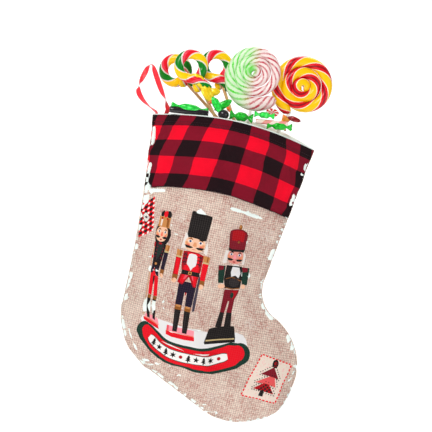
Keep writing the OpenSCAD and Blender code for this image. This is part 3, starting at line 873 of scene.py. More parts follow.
def guard_in_round_hat():
    """The right figure: tall wine hat with a pompon, black coat, wine trousers."""
    ink("bronze", oval(139.6, 113, 2.4, 3.2, 12))
    ink("gold", oval(139.2, 112, 1.2, 1.6, 10))
    ink("mist", [(125.6, 143), (130, 142), (130, 158), (124.8, 158)])
    ink("mist", [(151, 142), (153.6, 146), (153.8, 156), (150.4, 158)])
    face(140, 148.6, 10.6, 9.2, "black", "pink", "black", "rosy")
    ink("wine", [(127, 124), (127.2, 119.4), (130, 117), (136, 115.6), (143, 115.4), (148.6, 117.6),
                 (150.6, 121), (150.4, 139), (146, 140), (133, 141), (129, 139.6)])
    ink("deep_red", [(130, 119), (136, 117), (143, 117), (147, 119.2), (146, 130), (131, 130)])
    ink("wine", oval(140, 131, 2.6, 2.6, 12))
    ink("bronze", oval(140, 131, 1.4, 1.4, 10))
    ink("black", [(128.8, 138.4), (133, 140.4), (146, 139.4), (150.6, 138.2), (150.2, 142.4), (144, 142.4),
                  (136, 143.2), (129.2, 142.6)])
    ink("mist", oval(143.6, 159.4, 4.4, 1.8, 12))
    ink("black", [(131.4, 160), (150.6, 159.4), (154.8, 162), (154.4, 186.4), (135, 188.6), (132.4, 178)])
    ink("snow", [(139.4, 161), (148.4, 161), (150.8, 168), (150, 174), (145, 171), (140.4, 173.4),
                 (138.4, 168)])
    ink("mist", strip_along([(141, 163), (143.8, 167.4), (147.4, 163)], [0.3, 0.7, 0.3]))
    ink("bronze", strip_along([(134.6, 177), (141.6, 174), (148, 175.6), (153.6, 177)], 0.5))
    ink("coal", oval(145.6, 180, 6.6, 5.2, 18))
    ink("bronze", strip_along([(136.4, 187.6), (145, 188.2), (153.6, 186)], 0.6))
    for x, top, slope in ((120.8, 161.6, 0.11), (151.6, 160, 0.09)):
        ink("green", leaning([(x, top), (x + 9.4, top - 0.4), (x + 9, top + 21), (x + 2.2, top + 21.6)],
                             top, slope))
        ink("wine", leaning([(x + 0.2, top), (x + 7.4, top), (x + 7, top + 4.6),
                             (x + 1, top + 6)], top, slope))
    ink("skin", oval(130.6, 186.6, 4.6, 2.8, 14, -8))
    ink("skin", oval(157.6, 183.4, 3, 2.8, 12))
    ink("wine", [(135.4, 190), (154, 188), (153, 194), (150.4, 200), (150.6, 216.4), (144.2, 216.8),
                 (144.6, 203), (143, 203), (141.6, 217.6), (136.2, 217.6)])
    ink("deep_red", [(146.4, 190), (152.6, 189), (149.6, 199.6), (145.4, 199)])
    ink("green", oval(146.4, 195.6, 2.2, 3.6, 12))
    ink("black", [(136.2, 217.4), (141.8, 217.4), (142, 234.8), (134.4, 236)])
    ink("black", [(144.2, 216.6), (151, 216.4), (153, 232.4), (145.2, 235)])
    ink("black", [(127.6, 239.6), (130, 238), (134.6, 236.4), (143.4, 233.8), (153, 232.4), (157.4, 232.2),
                  (161.4, 246.4), (162, 251.4), (126.2, 258.6), (124.8, 256.6)])
    ink("sand", strip_along([(126.6, 254), (143, 250.4), (160.4, 247.2)], 0.8))


def rocker(grow):
    """Outline of the curved rocker, drawn in by grow mm from its outer edge."""
    path = smooth_route([(45.5 + grow, 261.6), (61, 270.8), (82, 278.4), (104, 281), (128, 279.6), (150, 273.6),
                         (171.5 - grow, 264)], 6)
    half = np.interp(np.linspace(0, 1, len(path)), [0, 0.05, 0.5, 0.94, 1], [10, 12, 15.2, 17, 13.4]) - grow
    edge = strip_along(path, half)
    n = len(path)
    right = oval(path[-1][0], path[-1][1], half[-1] * 0.9, half[-1], 10, -20, -80, 80)
    left = oval(path[0][0], path[0][1], half[0] * 0.8, half[0], 10, 24, 100, 260)
    return np.vstack([edge[:n], right[::-1], edge[n:], left[::-1]])


def star(cx, cy, outer, inner, points):
    out = []
    for k in range(2 * points):
        reach, w = inner if k % 2 else outer, math.radians(180 * k / points - 90)
        out.append((cx + reach * math.cos(w), cy + reach * math.sin(w)))
    return out


def rocker_and_stand():
    """Snow behind the feet, the three bases and the rocker with a row of small trees and stars."""
    ink("snow", [(41, 246), (48, 244), (62, 243), (76, 242.4), (100, 244.6), (126, 243.6), (150, 240.8),
                 (162, 239.4), (170, 241), (175, 246), (178, 252), (160, 266), (110, 274), (70, 268),
                 (44, 257), (39, 251)])
    ink("pink", [(42.4, 245.6), (45, 241.2), (61.6, 243.2), (64, 249), (64.8, 251)])
    ink("red", [(41.6, 246.6), (63.4, 251.2), (65.4, 255.6), (60, 255), (43, 250.6)])
    ink("blush", strip_along([(43, 246.8), (52, 248.2), (63.6, 251)], 0.6))
    ink("pink", [(75.4, 246), (109.4, 245.8), (110.6, 253), (76, 253)])
    ink("rose", [(75.4, 246), (78, 246), (79, 252.6), (76, 252.6)])
    ink("blush", strip_along([(76, 252.6), (93, 253.4), (110.6, 253)], 0.7))
    ink("red", [(75.4, 253), (93, 254), (111, 253.4), (112, 258), (100, 259.2), (84, 258.8), (76.6, 257.6)])
    ink("green", rocker(0))
    ink("red", rocker(3.6))
    path = smooth_route([(55, 268.6), (68, 274.4), (86, 279.6), (104, 281.2), (124, 280), (142, 276),
                         (157, 270)], 6)
    half = np.interp(np.linspace(0, 1, len(path)), [0, 0.04, 0.5, 0.96, 1], [2.8, 4.6, 5.6, 4.9, 3.2])
    ink("green", strip_along(path, half + 0.9))
    ink("white", strip_along(path, half))
    steps = np.r_[0, np.cumsum(np.linalg.norm(np.diff(path, axis=0), axis=1))]
    for k in range(10):
        at = 9 + 9.6 * k
        x, y = (np.interp(at, steps, path[:, 0]), np.interp(at, steps, path[:, 1]))
        if k % 5 == 4:
            ink("deep_red", oval(x, y, 2.2, 2.2, 12))
        elif k % 5 in (0, 2):
            for drop, wide in ((-4.9, 2.1), (-2.7, 2.9), (-0.5, 3.6)):
                ink("black", [(x, y + drop), (x + wide, y + drop + 3.5), (x - wide, y + drop + 3.5)])
            ink("black", box(x - 0.8, y + 2.8, x + 0.8, y + 4.8))
        else:
            ink("black", star(x, y, 4.2, 1.8, 5 if k % 5 == 1 else 6))


def gingham_flag():
    """A small slanted patch of red and black check, with a plain pale oval in it."""
    a, across, down = np.array([8.4, 112.6]), np.array([14.4, -13.4]), np.array([6.6, 40.4])
    n, m = 6, 14
    ink("mist", [a, a + across, a + across + down, a + down])

    def edge(k):
        return k + (0.22 if k % 2 else 0.0)

    for i in range(n):
        for j in range(m):
            tone = {(0, 0): "black", (1, 0): "red", (0, 1): "red", (1, 1): "white"}[(i % 2, j % 2)]
            corners = [a + across * edge(q) / n + down * edge(r) / m
                       for q, r in ((i, j), (i + 1, j), (i + 1, j + 1), (i, j + 1))]
            ink(tone, corners)
    ink("black", oval(18, 126.4, 3.3, 6, 18, -8))
    ink("mist", oval(18, 126.4, 2.9, 5.5, 18, -8))
    ink("coal", star(18, 126.4, 2.6, 0.9, 6))


def patch_with_tree():
    """The cream patch at the toe: dashed red border and a three-tier patchwork tree."""
    corner = [np.array(p) for p in ((198.4, 259.4), (238, 267), (226.6, 317.4), (181.8, 313.4))]
    ink("cream", corner)
    for k in range(95):
        s, t = rng.random(), rng.random()
        upper, lower = corner[0] * (1 - s) + corner[1] * s, corner[3] * (1 - s) + corner[2] * s
        p = upper * (1 - t) + lower * t
        ink("pink", oval(p[0], p[1], 0.45 + 0.3 * rng.random(), 0.4, 7))
    for p, q in zip(corner, corner[1:] + corner[:1]):
        count = round(np.linalg.norm(q - p) / 4.6)
        way = (q - p) / count
        for k in range(count):
            ink("red", strip_along([p + way * (k + 0.16), p + way * (k + 0.80)], 0.85))
    tree = [("wine", [(216.8, 272.4), (225.2, 287.4), (214, 285), (201.6, 283.4)]),
            ("coral", [(213.4, 284.8), (220, 285.8), (223.4, 298.2), (211, 295.6), (197, 295)]),
            ("deep_red", [(207.4, 294.8), (214.6, 295.4), (222, 307), (206, 304.8), (194.6, 303.2)])]
    for tone, outline in tree:
        ink(tone, outline)
        ring = outline + outline[:1]
        mid = np.mean(outline, axis=0)
        for p, q in zip(ring, ring[1:]):
            p, q = np.array(p), np.array(q)
            out = unit((p + q) / 2 - mid) * 2.4
            count = max(2, round(np.linalg.norm(q - p) / 3.1))
            for k in range(count):
                dot = p + (q - p) * (k + 0.5) / count + out
                ink("black", oval(dot[0], dot[1], 0.95, 0.7, 6, 30 + 50 * (k % 2)))
    for k in range(5):
        ink("rose", strip_along([(202 + 4 * k, 295.4 - 0.6 * k), (208 + 3.2 * k, 288.8 - 0.4 * k)], 0.5))
    for i in range(14):
        for j in range(6):
            x, y = 195 + 2.6 * i, 296.4 + 2.4 * j + 0.1 * i
            t = (y - 295) / 11
            if (i + j) % 2 == 0 and 208.6 - 12 * t < x < 213.6 + 7.2 * t and y < 303.4 + (x - 195) * 0.1:
                ink("black", box(x - 1.25, y - 1.15, x + 1.25, y + 1.15))
    ink("black", [(204.6, 303.8), (209.6, 305), (208.6, 311.6), (203.2, 311.4)])
    ink("black", oval(217.4, 268.4, 3.9, 5.2, 20))
    for k in range(10):
        w = k * 0.9
        ink("deep_red", oval(217.4 + 0.28 * k * math.cos(w), 268.4 + 0.38 * k * math.sin(w), 0.7, 0.6, 7))


def snowflake(cx, cy, size):
    """A faint flake: six arms, each with one pair of barbs."""
    centre = np.array([cx, cy])

    def way(angle):
        return np.array([math.cos(angle), math.sin(angle)]) * size

    for k in range(6):
        w = math.radians(60 * k + 15)
        ink("mist", strip_along([centre, centre + way(w)], 0.45))
        root = centre + way(w) * 0.55
        for turn in (0.9, -0.9):
            ink("mist", strip_along([root, root + way(w + turn) * 0.34], 0.4))


FLAKES = [(174, 116, 9), (149, 325, 9), (61, 117, 6), (176, 226, 7), (24, 262, 7)]
FLAKE_SHAPES = len(FLAKES) * 18              # six arms of three strips; they are drawn first
FLAKE_INK = 0.35                             # how strongly a snowflake covers the cloth


def draw_print():
    for cx, cy, size in FLAKES:
        snowflake(cx, cy, size)
    gingham_flag()
    rocker_and_stand()
    king_in_gold_crown()
    drummer_in_tall_hat()
    guard_in_round_hat()
    patch_with_tree()


def printed_leg():
    """One mesh for the front of the leg, cut along every printed edge, coloured face by face."""
    draw_print()
    rest = (REST[FRONT] - CORNER) / MM
    outline = [(p[0], -p[2]) for p in rest[CUFF_END]]
    outline += [(p[0], -p[2]) for p in rest[CUFF_END + 1:, COLS]]
    outline += [(p[0], -p[2]) for p in rest[LAST_ROW, ::-1][1:]]
    outline += [(p[0], -p[2]) for p in rest[CUFF_END + 1:LAST_ROW, 0][::-1]]
    verts, polys = [], []
    for colour, pts in [("", outline)] + shapes:
        polys.append(list(range(len(verts), len(verts) + len(pts))))
        verts.extend(Vector((x, -y)) for x, y in pts)
    if sum(verts[i].cross(verts[j]) for i, j in zip(polys[0], polys[0][1:] + polys[0][:1])) < 0:
        polys[0] = polys[0][::-1]
    # grid points inside the outline keep the bare cloth's faces small
    inner = rest[CUFF_END + 2:LAST_ROW - 1:2, 2:COLS - 1:2].reshape(-1, 3)
    verts.extend(Vector((p[0], p[2])) for p in inner)
    out_verts, _, out_faces, _, _, origins = delaunay_2d_cdt(verts, [], polys, 1, 1e-4)
    colours = [(1, 1, 1, 0)] + [INK[c][:3] + (1,) for c, _ in shapes]
    spots, tilts = [], []
    for p in out_verts:
        spot, tilt = FIND_FRONT(p.x * MM + CORNER[0], p.y * MM + CORNER[2])
        spots.append(spot)
        tilts.append(tilt)
    faces, tones = [], []
    for face_ids, origin in zip(out_faces, origins):
        if 0 not in origin:
            continue
        top = max(origin)
        tone = colours[top]
        if 0 < top <= FLAKE_SHAPES:
            tone = tone[:3] + (FLAKE_INK,)
        faces.append(tuple(face_ids))
        tones.append(tone)
    leg = new_piece("leg_front_printed", spots, faces, BURLAP_PRINT)
    normal = leg.data.polygons[len(faces) // 2].normal
    if normal.y > 0:
        leg.data.flip_normals()
    layer_ink = leg.data.color_attributes.new("ink", "FLOAT_COLOR", "CORNER")
    corner_tones = np.repeat(np.array(tones), [len(f) for f in faces], axis=0)
    layer_ink.data.foreach_set("color", corner_tones.ravel())
    return thicken(leg, CLOTH_T)


def make_cloth():
    leg_front = printed_leg()
    leg_back = cloth_piece("leg_back_cloth", BACK, CUFF_END, LAST_ROW, 0, CLOTH_T, BURLAP_BACK)
    cuffs = [cloth_piece("cuff_%s_plaid" % word, side, 0, CUFF_END, 0.15 * MM, CLOTH_T, PLAID, 0,
                         plaid_places(side))
             for word, side in (("front", FRONT), ("back", BACK))]
    linings = [cloth_piece("lining_%s_white" % word, side, 0, LAST_ROW, LINING_OFF, LINING_T, LINING, 1.3 * MM)
               for word, side in (("front", FRONT), ("back", BACK))]
    for obj, node, slot in ((leg_front, "leg_front", "burlap_print"), (leg_back, "leg_back", "burlap_plain"),
                            (cuffs[0], "cuff_front", "plaid"), (cuffs[1], "cuff_back", "plaid"),
                            (linings[0], "lining_front", "lining"), (linings[1], "lining_back", "lining")):
        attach(obj, "stocking")
        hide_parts(node)


# ------------------------------------------------------------------ ribbon and stitching

def ring_mesh(rows, m, at, turned=False):
    """Quads between rows + 1 rings of m points, and their corners' uv: at(ring, step round it)."""
    faces, uv = [], []
    for i in range(rows):
        for k in range(m):
            corners = [(i, k), (i + 1, k), (i + 1, k + 1), (i, k + 1)]
            if turned:
                corners = corners[:1] + corners[:0:-1]
            faces.append(tuple(ring * m + step % m for ring, step in corners))
            uv += [at(ring, step) for ring, step in corners]
    return faces, uv


def swept(name, path, section, material, scales=None, turns=None, wide=(0, 1, 0)):
    """A section (points in width, thickness) carried along a path in metres; ends closed.
    UV: X is mm travelled, Y runs 0 to 1 round the section."""
    path = np.asarray(path, dtype=float)
    n, m = len(path), len(section)
    way = np.gradient(path, axis=0)
    scales = np.ones(n) if scales is None else scales
    turns = np.zeros(n) if turns is None else turns
    travelled = np.r_[0, np.cumsum(np.linalg.norm(np.diff(path, axis=0), axis=1))] / MM
    verts = []
    for p, w, size, turn in zip(path, way, scales, turns):
        w = unit(w)
        side = unit(np.asarray(wide, dtype=float) - w * np.dot(wide, w))
        over = np.cross(w, side)
        c, s = math.cos(turn), math.sin(turn)
        a, b = side * c + over * s, over * c - side * s
        verts += [p + (a * x + b * y) * size for x, y in section]
    faces, uv = ring_mesh(n - 1, m, lambda ring, step: (travelled[ring], step / m), True)
    faces += [tuple(range(m))[::-1], tuple(range((n - 1) * m, n * m))]
    uv += [(travelled[end], k / m) for end in (0, -1) for k in range(m)]
    return new_piece(name, verts, faces, material, uv)


def round_section(a, b, sides):
    angles = [2 * math.pi * k / sides for k in range(sides)]
    return [(a * math.cos(w), b * math.sin(w)) for w in angles]


RIBBON_W, RIBBON_T = 6.5 * MM, 0.45 * MM
# x, y, z in mm and how far the ribbon is twisted there, 0 when its width runs front to back
RIBBON = [(21.5, 0, -70, 40), (20.8, 0, -64, 40), (20, 0, -57, 30), (15, 0, -54, 18), (9, -1, -51, 14),
          (0, -1.5, -45, 50), (-6, -1.5, -38.5, 80), (-8.3, -1, -33, 50), (-8.5, 0, -29, 4),
          (-7, 0.5, -21, 55), (-4.6, 0.5, -12, 82), (-2.6, 0, -5, 48), (-1, 0, -1.5, 14), (1, 0, -0.4, 0),
          (3.4, 0, -1.5, -24), (6.5, 0, -6.5, -62), (11.5, 0, -15, -84), (17, 0, -24, -76),
          (22, 0, -31.5, -48), (27.5, 0, -38.5, -4), (31, 0, -46, 44), (33.2, -0.8, -49.5, 62),
          (32.6, -0.5, -53, 50), (32, 0, -57, 40), (31.4, 0, -64, 40), (31, 0, -70, 40)]


def make_ribbon():
    route = smooth_route([p[:3] + (math.radians(p[3]),) for p in RIBBON], 10)
    path = route[:, :3] * MM
    path[:, 2] = np.minimum(path[:, 2], -0.3 * MM)
    w, t = RIBBON_W / 2, RIBBON_T / 2
    section = [(-w, -t * 0.5), (-w * 0.9, -t), (-w * 0.45, -t * 1.25), (0, -t * 1.35), (w * 0.45, -t * 1.25),
               (w * 0.9, -t), (w, -t * 0.5), (w, t * 0.5), (w * 0.9, t), (w * 0.45, t * 1.0), (0, t * 0.9),
               (-w * 0.45, t * 1.0), (-w * 0.9, t), (-w, t * 0.5)]
    ribbon = swept("red_ribbon", path, section, SATIN, turns=route[:, 3])
    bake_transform(ribbon)
    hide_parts("ribbon_loop", "ribbon_tails")
    # the tack: a close zigzag of thread over both ends
    turns = 26
    zig = [((20.2 + 12 * k / turns) * MM, (2.0 if k % 2 else -2.0) * MM, -68.5 * MM) for k in range(turns + 1)]
    tack = swept("ribbon_tack", zig, round_section(0.42 * MM, 0.42 * MM, 8), RED_THREAD, wide=(0, 0, 1))
    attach(tack, "stocking")
    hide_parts("ribbon_bartack")


def stitch_tree():
    """Geometry nodes: turns a line into even stitches lying along it."""
    tree = bpy.data.node_groups.new("run_of_stitches", "GeometryNodeTree")
    sockets = tree.interface
    sockets.new_socket(name="Line", in_out="INPUT", socket_type="NodeSocketGeometry")
    for label, value in (("Step", 0.0026), ("Stitch Length", 0.0021), ("Thread", 0.0006), ("Slant", 0.0)):
        sockets.new_socket(name=label, in_out="INPUT", socket_type="NodeSocketFloat").default_value = value
    sockets.new_socket(name="Material", in_out="INPUT", socket_type="NodeSocketMaterial")
    sockets.new_socket(name="Stitches", in_out="OUTPUT", socket_type="NodeSocketGeometry")
    new = tree.nodes.new
    given, out = new("NodeGroupInput"), new("NodeGroupOutput")
    to_curve, resample = new("GeometryNodeMeshToCurve"), new("GeometryNodeResampleCurve")
    resample.mode = "LENGTH"
    ball = new("GeometryNodeMeshUVSphere")
    for label, value in (("Segments", 10), ("Rings", 6), ("Radius", 0.5)):
        ball.inputs[label].default_value = value
    tangent, align = new("GeometryNodeInputTangent"), new("FunctionNodeAlignRotationToVector")
    align.axis = "X"
    slant, turn = new("FunctionNodeRotateRotation"), new("ShaderNodeCombineXYZ")
    size = new("ShaderNodeCombineXYZ")
    slant.rotation_space = "LOCAL"
    place, real, paint = (new("GeometryNodeInstanceOnPoints"), new("GeometryNodeRealizeInstances"),
                          new("GeometryNodeSetMaterial"))
    for source, label, target, socket in (
            (given, "Line", to_curve, "Mesh"), (to_curve, "Curve", resample, "Curve"),
            (given, "Step", resample, "Length"), (tangent, "Tangent", align, "Vector"),
            (given, "Slant", turn, "Y"), (align, "Rotation", slant, "Rotation"),
            (turn, "Vector", slant, "Rotate By"), (given, "Stitch Length", size, "X"),
            (given, "Thread", size, "Y"), (given, "Thread", size, "Z"),
            (resample, "Curve", place, "Points"), (ball, "Mesh", place, "Instance"),
            (slant, "Rotation", place, "Rotation"), (size, "Vector", place, "Scale"),
            (place, "Instances", real, "Geometry"), (real, "Geometry", paint, "Geometry"),
            (given, "Material", paint, "Material"), (paint, "Geometry", out, "Stitches")):
        tree.links.new(source.outputs[label], target.inputs[socket])
    return tree


STITCHES = stitch_tree()


def stitched(name, lines, material, node, step, length, thread, slant=0.0):
    verts, edges = [], []
    for line in lines:
        edges += [(len(verts) + k, len(verts) + k + 1) for k in range(len(line) - 1)]
        verts += [tuple(map(float, p)) for p in line]
    mesh = bpy.data.meshes.new(name)
    mesh.from_pydata(verts, edges, [])
    obj = bpy.data.objects.new(name, mesh)
    scene.collection.objects.link(obj)
    run = obj.modifiers.new("stitches", "NODES")
    run.node_group = STITCHES
    ids = {item.name: item.identifier for item in STITCHES.interface.items_tree if item.in_out == "INPUT"}
    for label, value in (("Step", step), ("Stitch Length", length), ("Thread", thread), ("Slant", slant),
                         ("Material", material)):
        run[ids[label]] = value
    finish_modifiers(obj)
    obj.data.polygons.foreach_set("use_smooth", [True] * len(obj.data.polygons))
    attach(obj, "stocking")
    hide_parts(node)


def row_line(side, row, off):
    """Points across the cloth at a fractional row, off metres out from it."""
    inset = 0.3                              # columns left free at each edge
    low = int(row)
    part = row - low
    form = FORM[side][low] * (1 - part) + FORM[side][low + 1] * part + NORMALS[side][low] * off
    across = np.linspace(inset, COLS - inset, COLS * 4)
    return np.stack([np.interp(across, np.arange(COLS + 1), form[:, i]) for i in range(3)], 1)


def make_stitches():
    per_mm = CUFF_END / CUFF_H
    for side, word in ((FRONT, "front"), (BACK, "back")):
        hems = [row_line(side, mm * per_mm, 0.30 * MM) for mm in (8.5, 11.5)]
        stitched("hem_stitches_%s_run" % word, hems, DARK_THREAD, "hem_stitches_" + word,
                 3.2 * MM, 2.6 * MM, 0.55 * MM)
        seam = [row_line(side, CUFF_END + 0.08, 0.15 * MM)]
        stitched("cuff_seam_%s_run" % word, seam, DARK_THREAD, "cuff_seam_" + word,
                 1.5 * MM, 1.7 * MM, 0.8 * MM, 0.25)
    left = (FORM[FRONT][:, 0] + FORM[BACK][:, 0]) / 2
    right = (FORM[FRONT][:, COLS] + FORM[BACK][:, COLS]) / 2
    bottom = (FORM[FRONT][LAST_ROW] + FORM[BACK][LAST_ROW]) / 2
    around = np.vstack([left, bottom[1:-1], right[::-1]]) * [1, 0, 1]
    stitched("side_seam_run", [around], PALE_THREAD, "side_seam_thread",
             1.7 * MM, 2.1 * MM, 0.75 * MM, 0.4)


# ------------------------------------------------------------------ sweets

def gloss(name, rough=0.24, coat=0.18, **more):
    return new_material(name, Roughness=rough, Coat_Weight=coat, Coat_Roughness=0.1, Specular_IOR_Level=0.25,
                        **more)


def bands(sh, place, stops):
    """Flat bands across 0 to 1 with slightly soft edges: stops are (where it starts, colour)."""
    ramp = sh.add("ShaderNodeValToRGB")
    sh.put(ramp.inputs["Fac"], place)
    ramp.color_ramp.interpolation = "LINEAR"
    marks = []
    for k, (start, tone) in enumerate(stops):
        marks.append((start, tone))
        end = stops[k + 1][0] if k + 1 < len(stops) else 1.0
        marks.append((max(start, end - 0.012), tone))
    ramp.color_ramp.elements[0].position, ramp.color_ramp.elements[0].color = marks[0]
    ramp.color_ramp.elements[1].position, ramp.color_ramp.elements[1].color = marks[-1]
    for where, tone in marks[1:-1]:
        ramp.color_ramp.elements.new(where).color = tone
    return ramp.outputs["Color"]


def loop_candy_material():
    sh, coords = gloss("twisted_rope_candy")
    place = sh.group(ROPE, UV=coords["UV"], Repeats=1.0, Twist=0.021, Wobble=0.04)["Place"]
    white = hue(232, 226, 214)
    tone = bands(sh, place, [(0, hue(0, 128, 26)), (0.29, white), (0.34, hue(255, 206, 0)), (0.63, white),
                             (0.68, hue(232, 10, 34)), (0.84, hue(236, 60, 84)), (0.95, white)])
    return sh.paint(tone)


def gold_candy_material():
    sh, coords = gloss("gold_and_red_candy")
    place = sh.group(ROPE, UV=coords["UV"], Repeats=2.0, Twist=0.026, Wobble=0.06)["Place"]
    white = hue(250, 236, 214)
    tone = bands(sh, place, [(0, hue(255, 202, 0)), (0.47, white), (0.52, hue(226, 8, 28)),
                             (0.68, hue(150, 16, 30)), (0.80, hue(232, 24, 34)), (0.95, white)])
    return sh.paint(tone)


def pale_candy_material(centre):
    """White rope with fine streaks: leaf green toward the heel side, crimson toward the toe side."""
    sh, coords = gloss("pale_swirl_candy", 0.3, 0.25)
    place = sh.group(ROPE, UV=coords["UV"], Repeats=6.0, Twist=0.085, Wobble=0.5)["Place"]
    broken = sh.spread(sh.noise(coords["Object"], 130, 2), 0.42, 0.58)
    streak = sh.times(sh.minus(1, sh.spread(place, 0.36, 0.46)), sh.spread(place, 0.0, 0.08))
    streak = sh.times(streak, sh.plus(0.55, sh.times(broken, 0.45)))
    split = sh.split(coords["Object"])
    toeward = sh.spread(split["X"], centre[0] - 0.014, centre[0] + 0.001)
    ground = sh.mix(toeward, hue(214, 240, 200), hue(244, 226, 222))
    mark = sh.mix(toeward, hue(76, 214, 44), hue(190, 0, 52))
    tone = sh.mix(streak, ground, mark)
    away = sh.add("ShaderNodeVectorMath", operation="DISTANCE")
    sh.put(away.inputs[0], coords["Object"])
    away.inputs[1].default_value = (centre[0] - 0.0075, centre[1] - 0.004, centre[2] + 0.004)
    tone = sh.mix(sh.spread(away.outputs["Value"], 0.0035, 0.0095, 0.85, 0.0), tone, hue(84, 214, 60))
    return sh.paint(tone)


def film_material(name, top, rough=0.22, shade=0.28):
    """Shiny twist wrapper, its creases darkened to the share shade, and pale where it catches the light."""
    sh, coords = gloss(name, rough, 0.4, Metallic=0.1)
    creases = sh.group(CRINKLE, Vector=coords["Object"], Scale=210.0)["Height"]
    tone = sh.mix(sh.spread(creases, 0.10, 0.36), toned(top, shade), top)
    tone = sh.mix(sh.spread(sh.noise(coords["Object"], 150, 2), 0.56, 0.70), tone, toned(top, 1.5, 0.10))
    return sh.paint(tone, creases, 0.6, 0.0012)


def stick_material(name, colour, grain):
    sh, coords = new_material(name, Roughness=0.6, Specular_IOR_Level=0.3)
    lines = sh.noise(sh.stretched(coords["UV"], (0.06, 22, 1)), 1, 3, 0.6)
    tone = sh.mix(sh.times(sh.spread(lines, 0.35, 0.65), grain), colour,
                  toned(colour, 0.55))
    return sh.paint(tone)


def striped_material(name, axis_scale, first, second, width):
    """Straight stripes across the UV's length."""
    sh, coords = gloss(name, 0.18, 0.6)
    split = sh.split(coords["UV"])
    run = sh.math("FRACT", sh.plus(sh.times(split["X"], axis_scale),
                                   sh.times(split["Y"], 1.0)))
    return sh.paint(sh.mix(sh.spread(run, width - 0.03, width + 0.03), first, second))


# head centre u, v, layer y and lean of each lollipop, as in the CAD
PALE_AT, GOLD_AT = (115, -75, -10, 3), (177.5, -75, 4, -18)
LEFT_AT, MIDDLE_AT, RIGHT_AT = (15, -61, 16, 54), (34, -68, -8, 38), (64, -76, 4, 31)


def leaned(at, points):
    """Puts upright points (mm, about a lollipop's head) where that lollipop stands, in metres."""
    lean = math.radians(at[3])
    p = np.asarray(points, dtype=float)
    x = p[:, 0] * math.cos(lean) - p[:, 2] * math.sin(lean)
    z = p[:, 0] * math.sin(lean) + p[:, 2] * math.cos(lean)
    return np.stack([CORNER[0] + (x + at[0]) * MM, (p[:, 1] + at[2]) * MM, CORNER[2] + (z - at[1]) * MM], 1)


def own(obj, body, node):
    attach(obj, body)
    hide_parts(node)
    return obj


ROPE_GAP = 0.3                               # between the turns of a swirl, mm


def swirl_edge(radius, rope):
    return radius + (2 * rope + ROPE_GAP) / 4


def swirl_pop(name, at, radius, rope, deep, turns, past, fat, material, slip):
    """Rope of candy wound outward. It ends past degrees beyond the stick, swelling there by the share fat;
    the middle is drawn slip (mm) off centre."""
    pitch = 2 * rope + ROPE_GAP
    last = swirl_edge(radius, rope) - rope
    start = last - pitch * turns - 1.0
    turns += start / pitch
    total = turns * 2 * math.pi
    past = math.radians(past)
    a = np.linspace(0, total, int(turns * 48))
    swell = 1 + fat * np.cos(np.minimum(math.pi / 2, np.abs(a - total + past) / 1.4)) ** 2
    r = last - pitch * (total - a) / (2 * math.pi) + rope * (swell - 1)
    way = a - total - math.pi / 2 + past
    inward = 1 - a / total
    path = np.stack([r * np.cos(way) + slip[0] * inward, -0.8 * inward, r * np.sin(way) + slip[1] * inward], 1)
    size = np.interp(a, [0, 0.5, total - 0.22, total - 0.06, total], [0.8, 1.0, 1.0, 0.8, 0.45]) * 1.06
    m = 22
    verts_at = leaned(at, path)
    spin = round_section(1.0, 1.0, m)
    obj = swept(name + "_rope", verts_at, [(x * deep * MM, y * rope * MM) for x, y in spin], material, size)
    # the swelling widens the rope in the picture plane only, so it stays in its layer
    co = np.array([v.co for v in obj.data.vertices]).reshape(len(a), m, 3)
    flat = co - verts_at[:, None, :]
    flat[:, :, [0, 2]] *= swell[:, None, None]
    obj.data.vertices.foreach_set("co", (verts_at[:, None, :] + flat).ravel())
    return obj


def rope_loop_pop(name, at, drop, material, cross, trail):
    """Rope of candy bent into a loop, its two ends twisted together above the stick."""
    turn = np.radians(np.arange(-50, 231, 8))
    bend = 15.0
    loop = [(bend * math.cos(t), -cross * math.cos(t), bend * math.sin(t)) for t in turn]
    end, low = 6.4, 12.0 + (drop - 12.0) * 0.45
    path = [(-end, -cross, -drop), (-1.6, -cross * 1.5, -low)] + loop
    path += [(1.6, cross * 1.5, -low), (end, cross, -drop), (end * 0.8, cross * 0.6, -drop - trail * 0.5),
             (end * 0.3, cross * 0.4, -drop - trail)]
    path = smooth_route(path, 4)
    n = len(path)
    size = np.interp(np.arange(n), [0, 2, 7, n - 8, n - 3, n - 1], [0.6, 0.92, 1, 1, 0.92, 0.6])
    return swept(name + "_rope", leaned(at, path), round_section(4.9 * MM, 5.9 * MM, 20), material, size)


def pop_stick(name, at, top, length, material):
    z = [-top, -top - 0.4, -top - length + 0.6, -top - length]
    path = leaned(at, [(0, 0, v) for v in z])
    return swept(name + "_stick_round", path, round_section(1.9 * MM, 1.9 * MM, 20), material,
                 np.array([0.8, 1, 1, 0.7]))


def at_mouth(place, x, y, z):
    """The point x, y, z (mm) from a sweet's place (across, down, layer), in metres."""
    return CORNER[0] + (place[0] + x) * MM, (place[2] + y) * MM, CORNER[2] + (z - place[1]) * MM


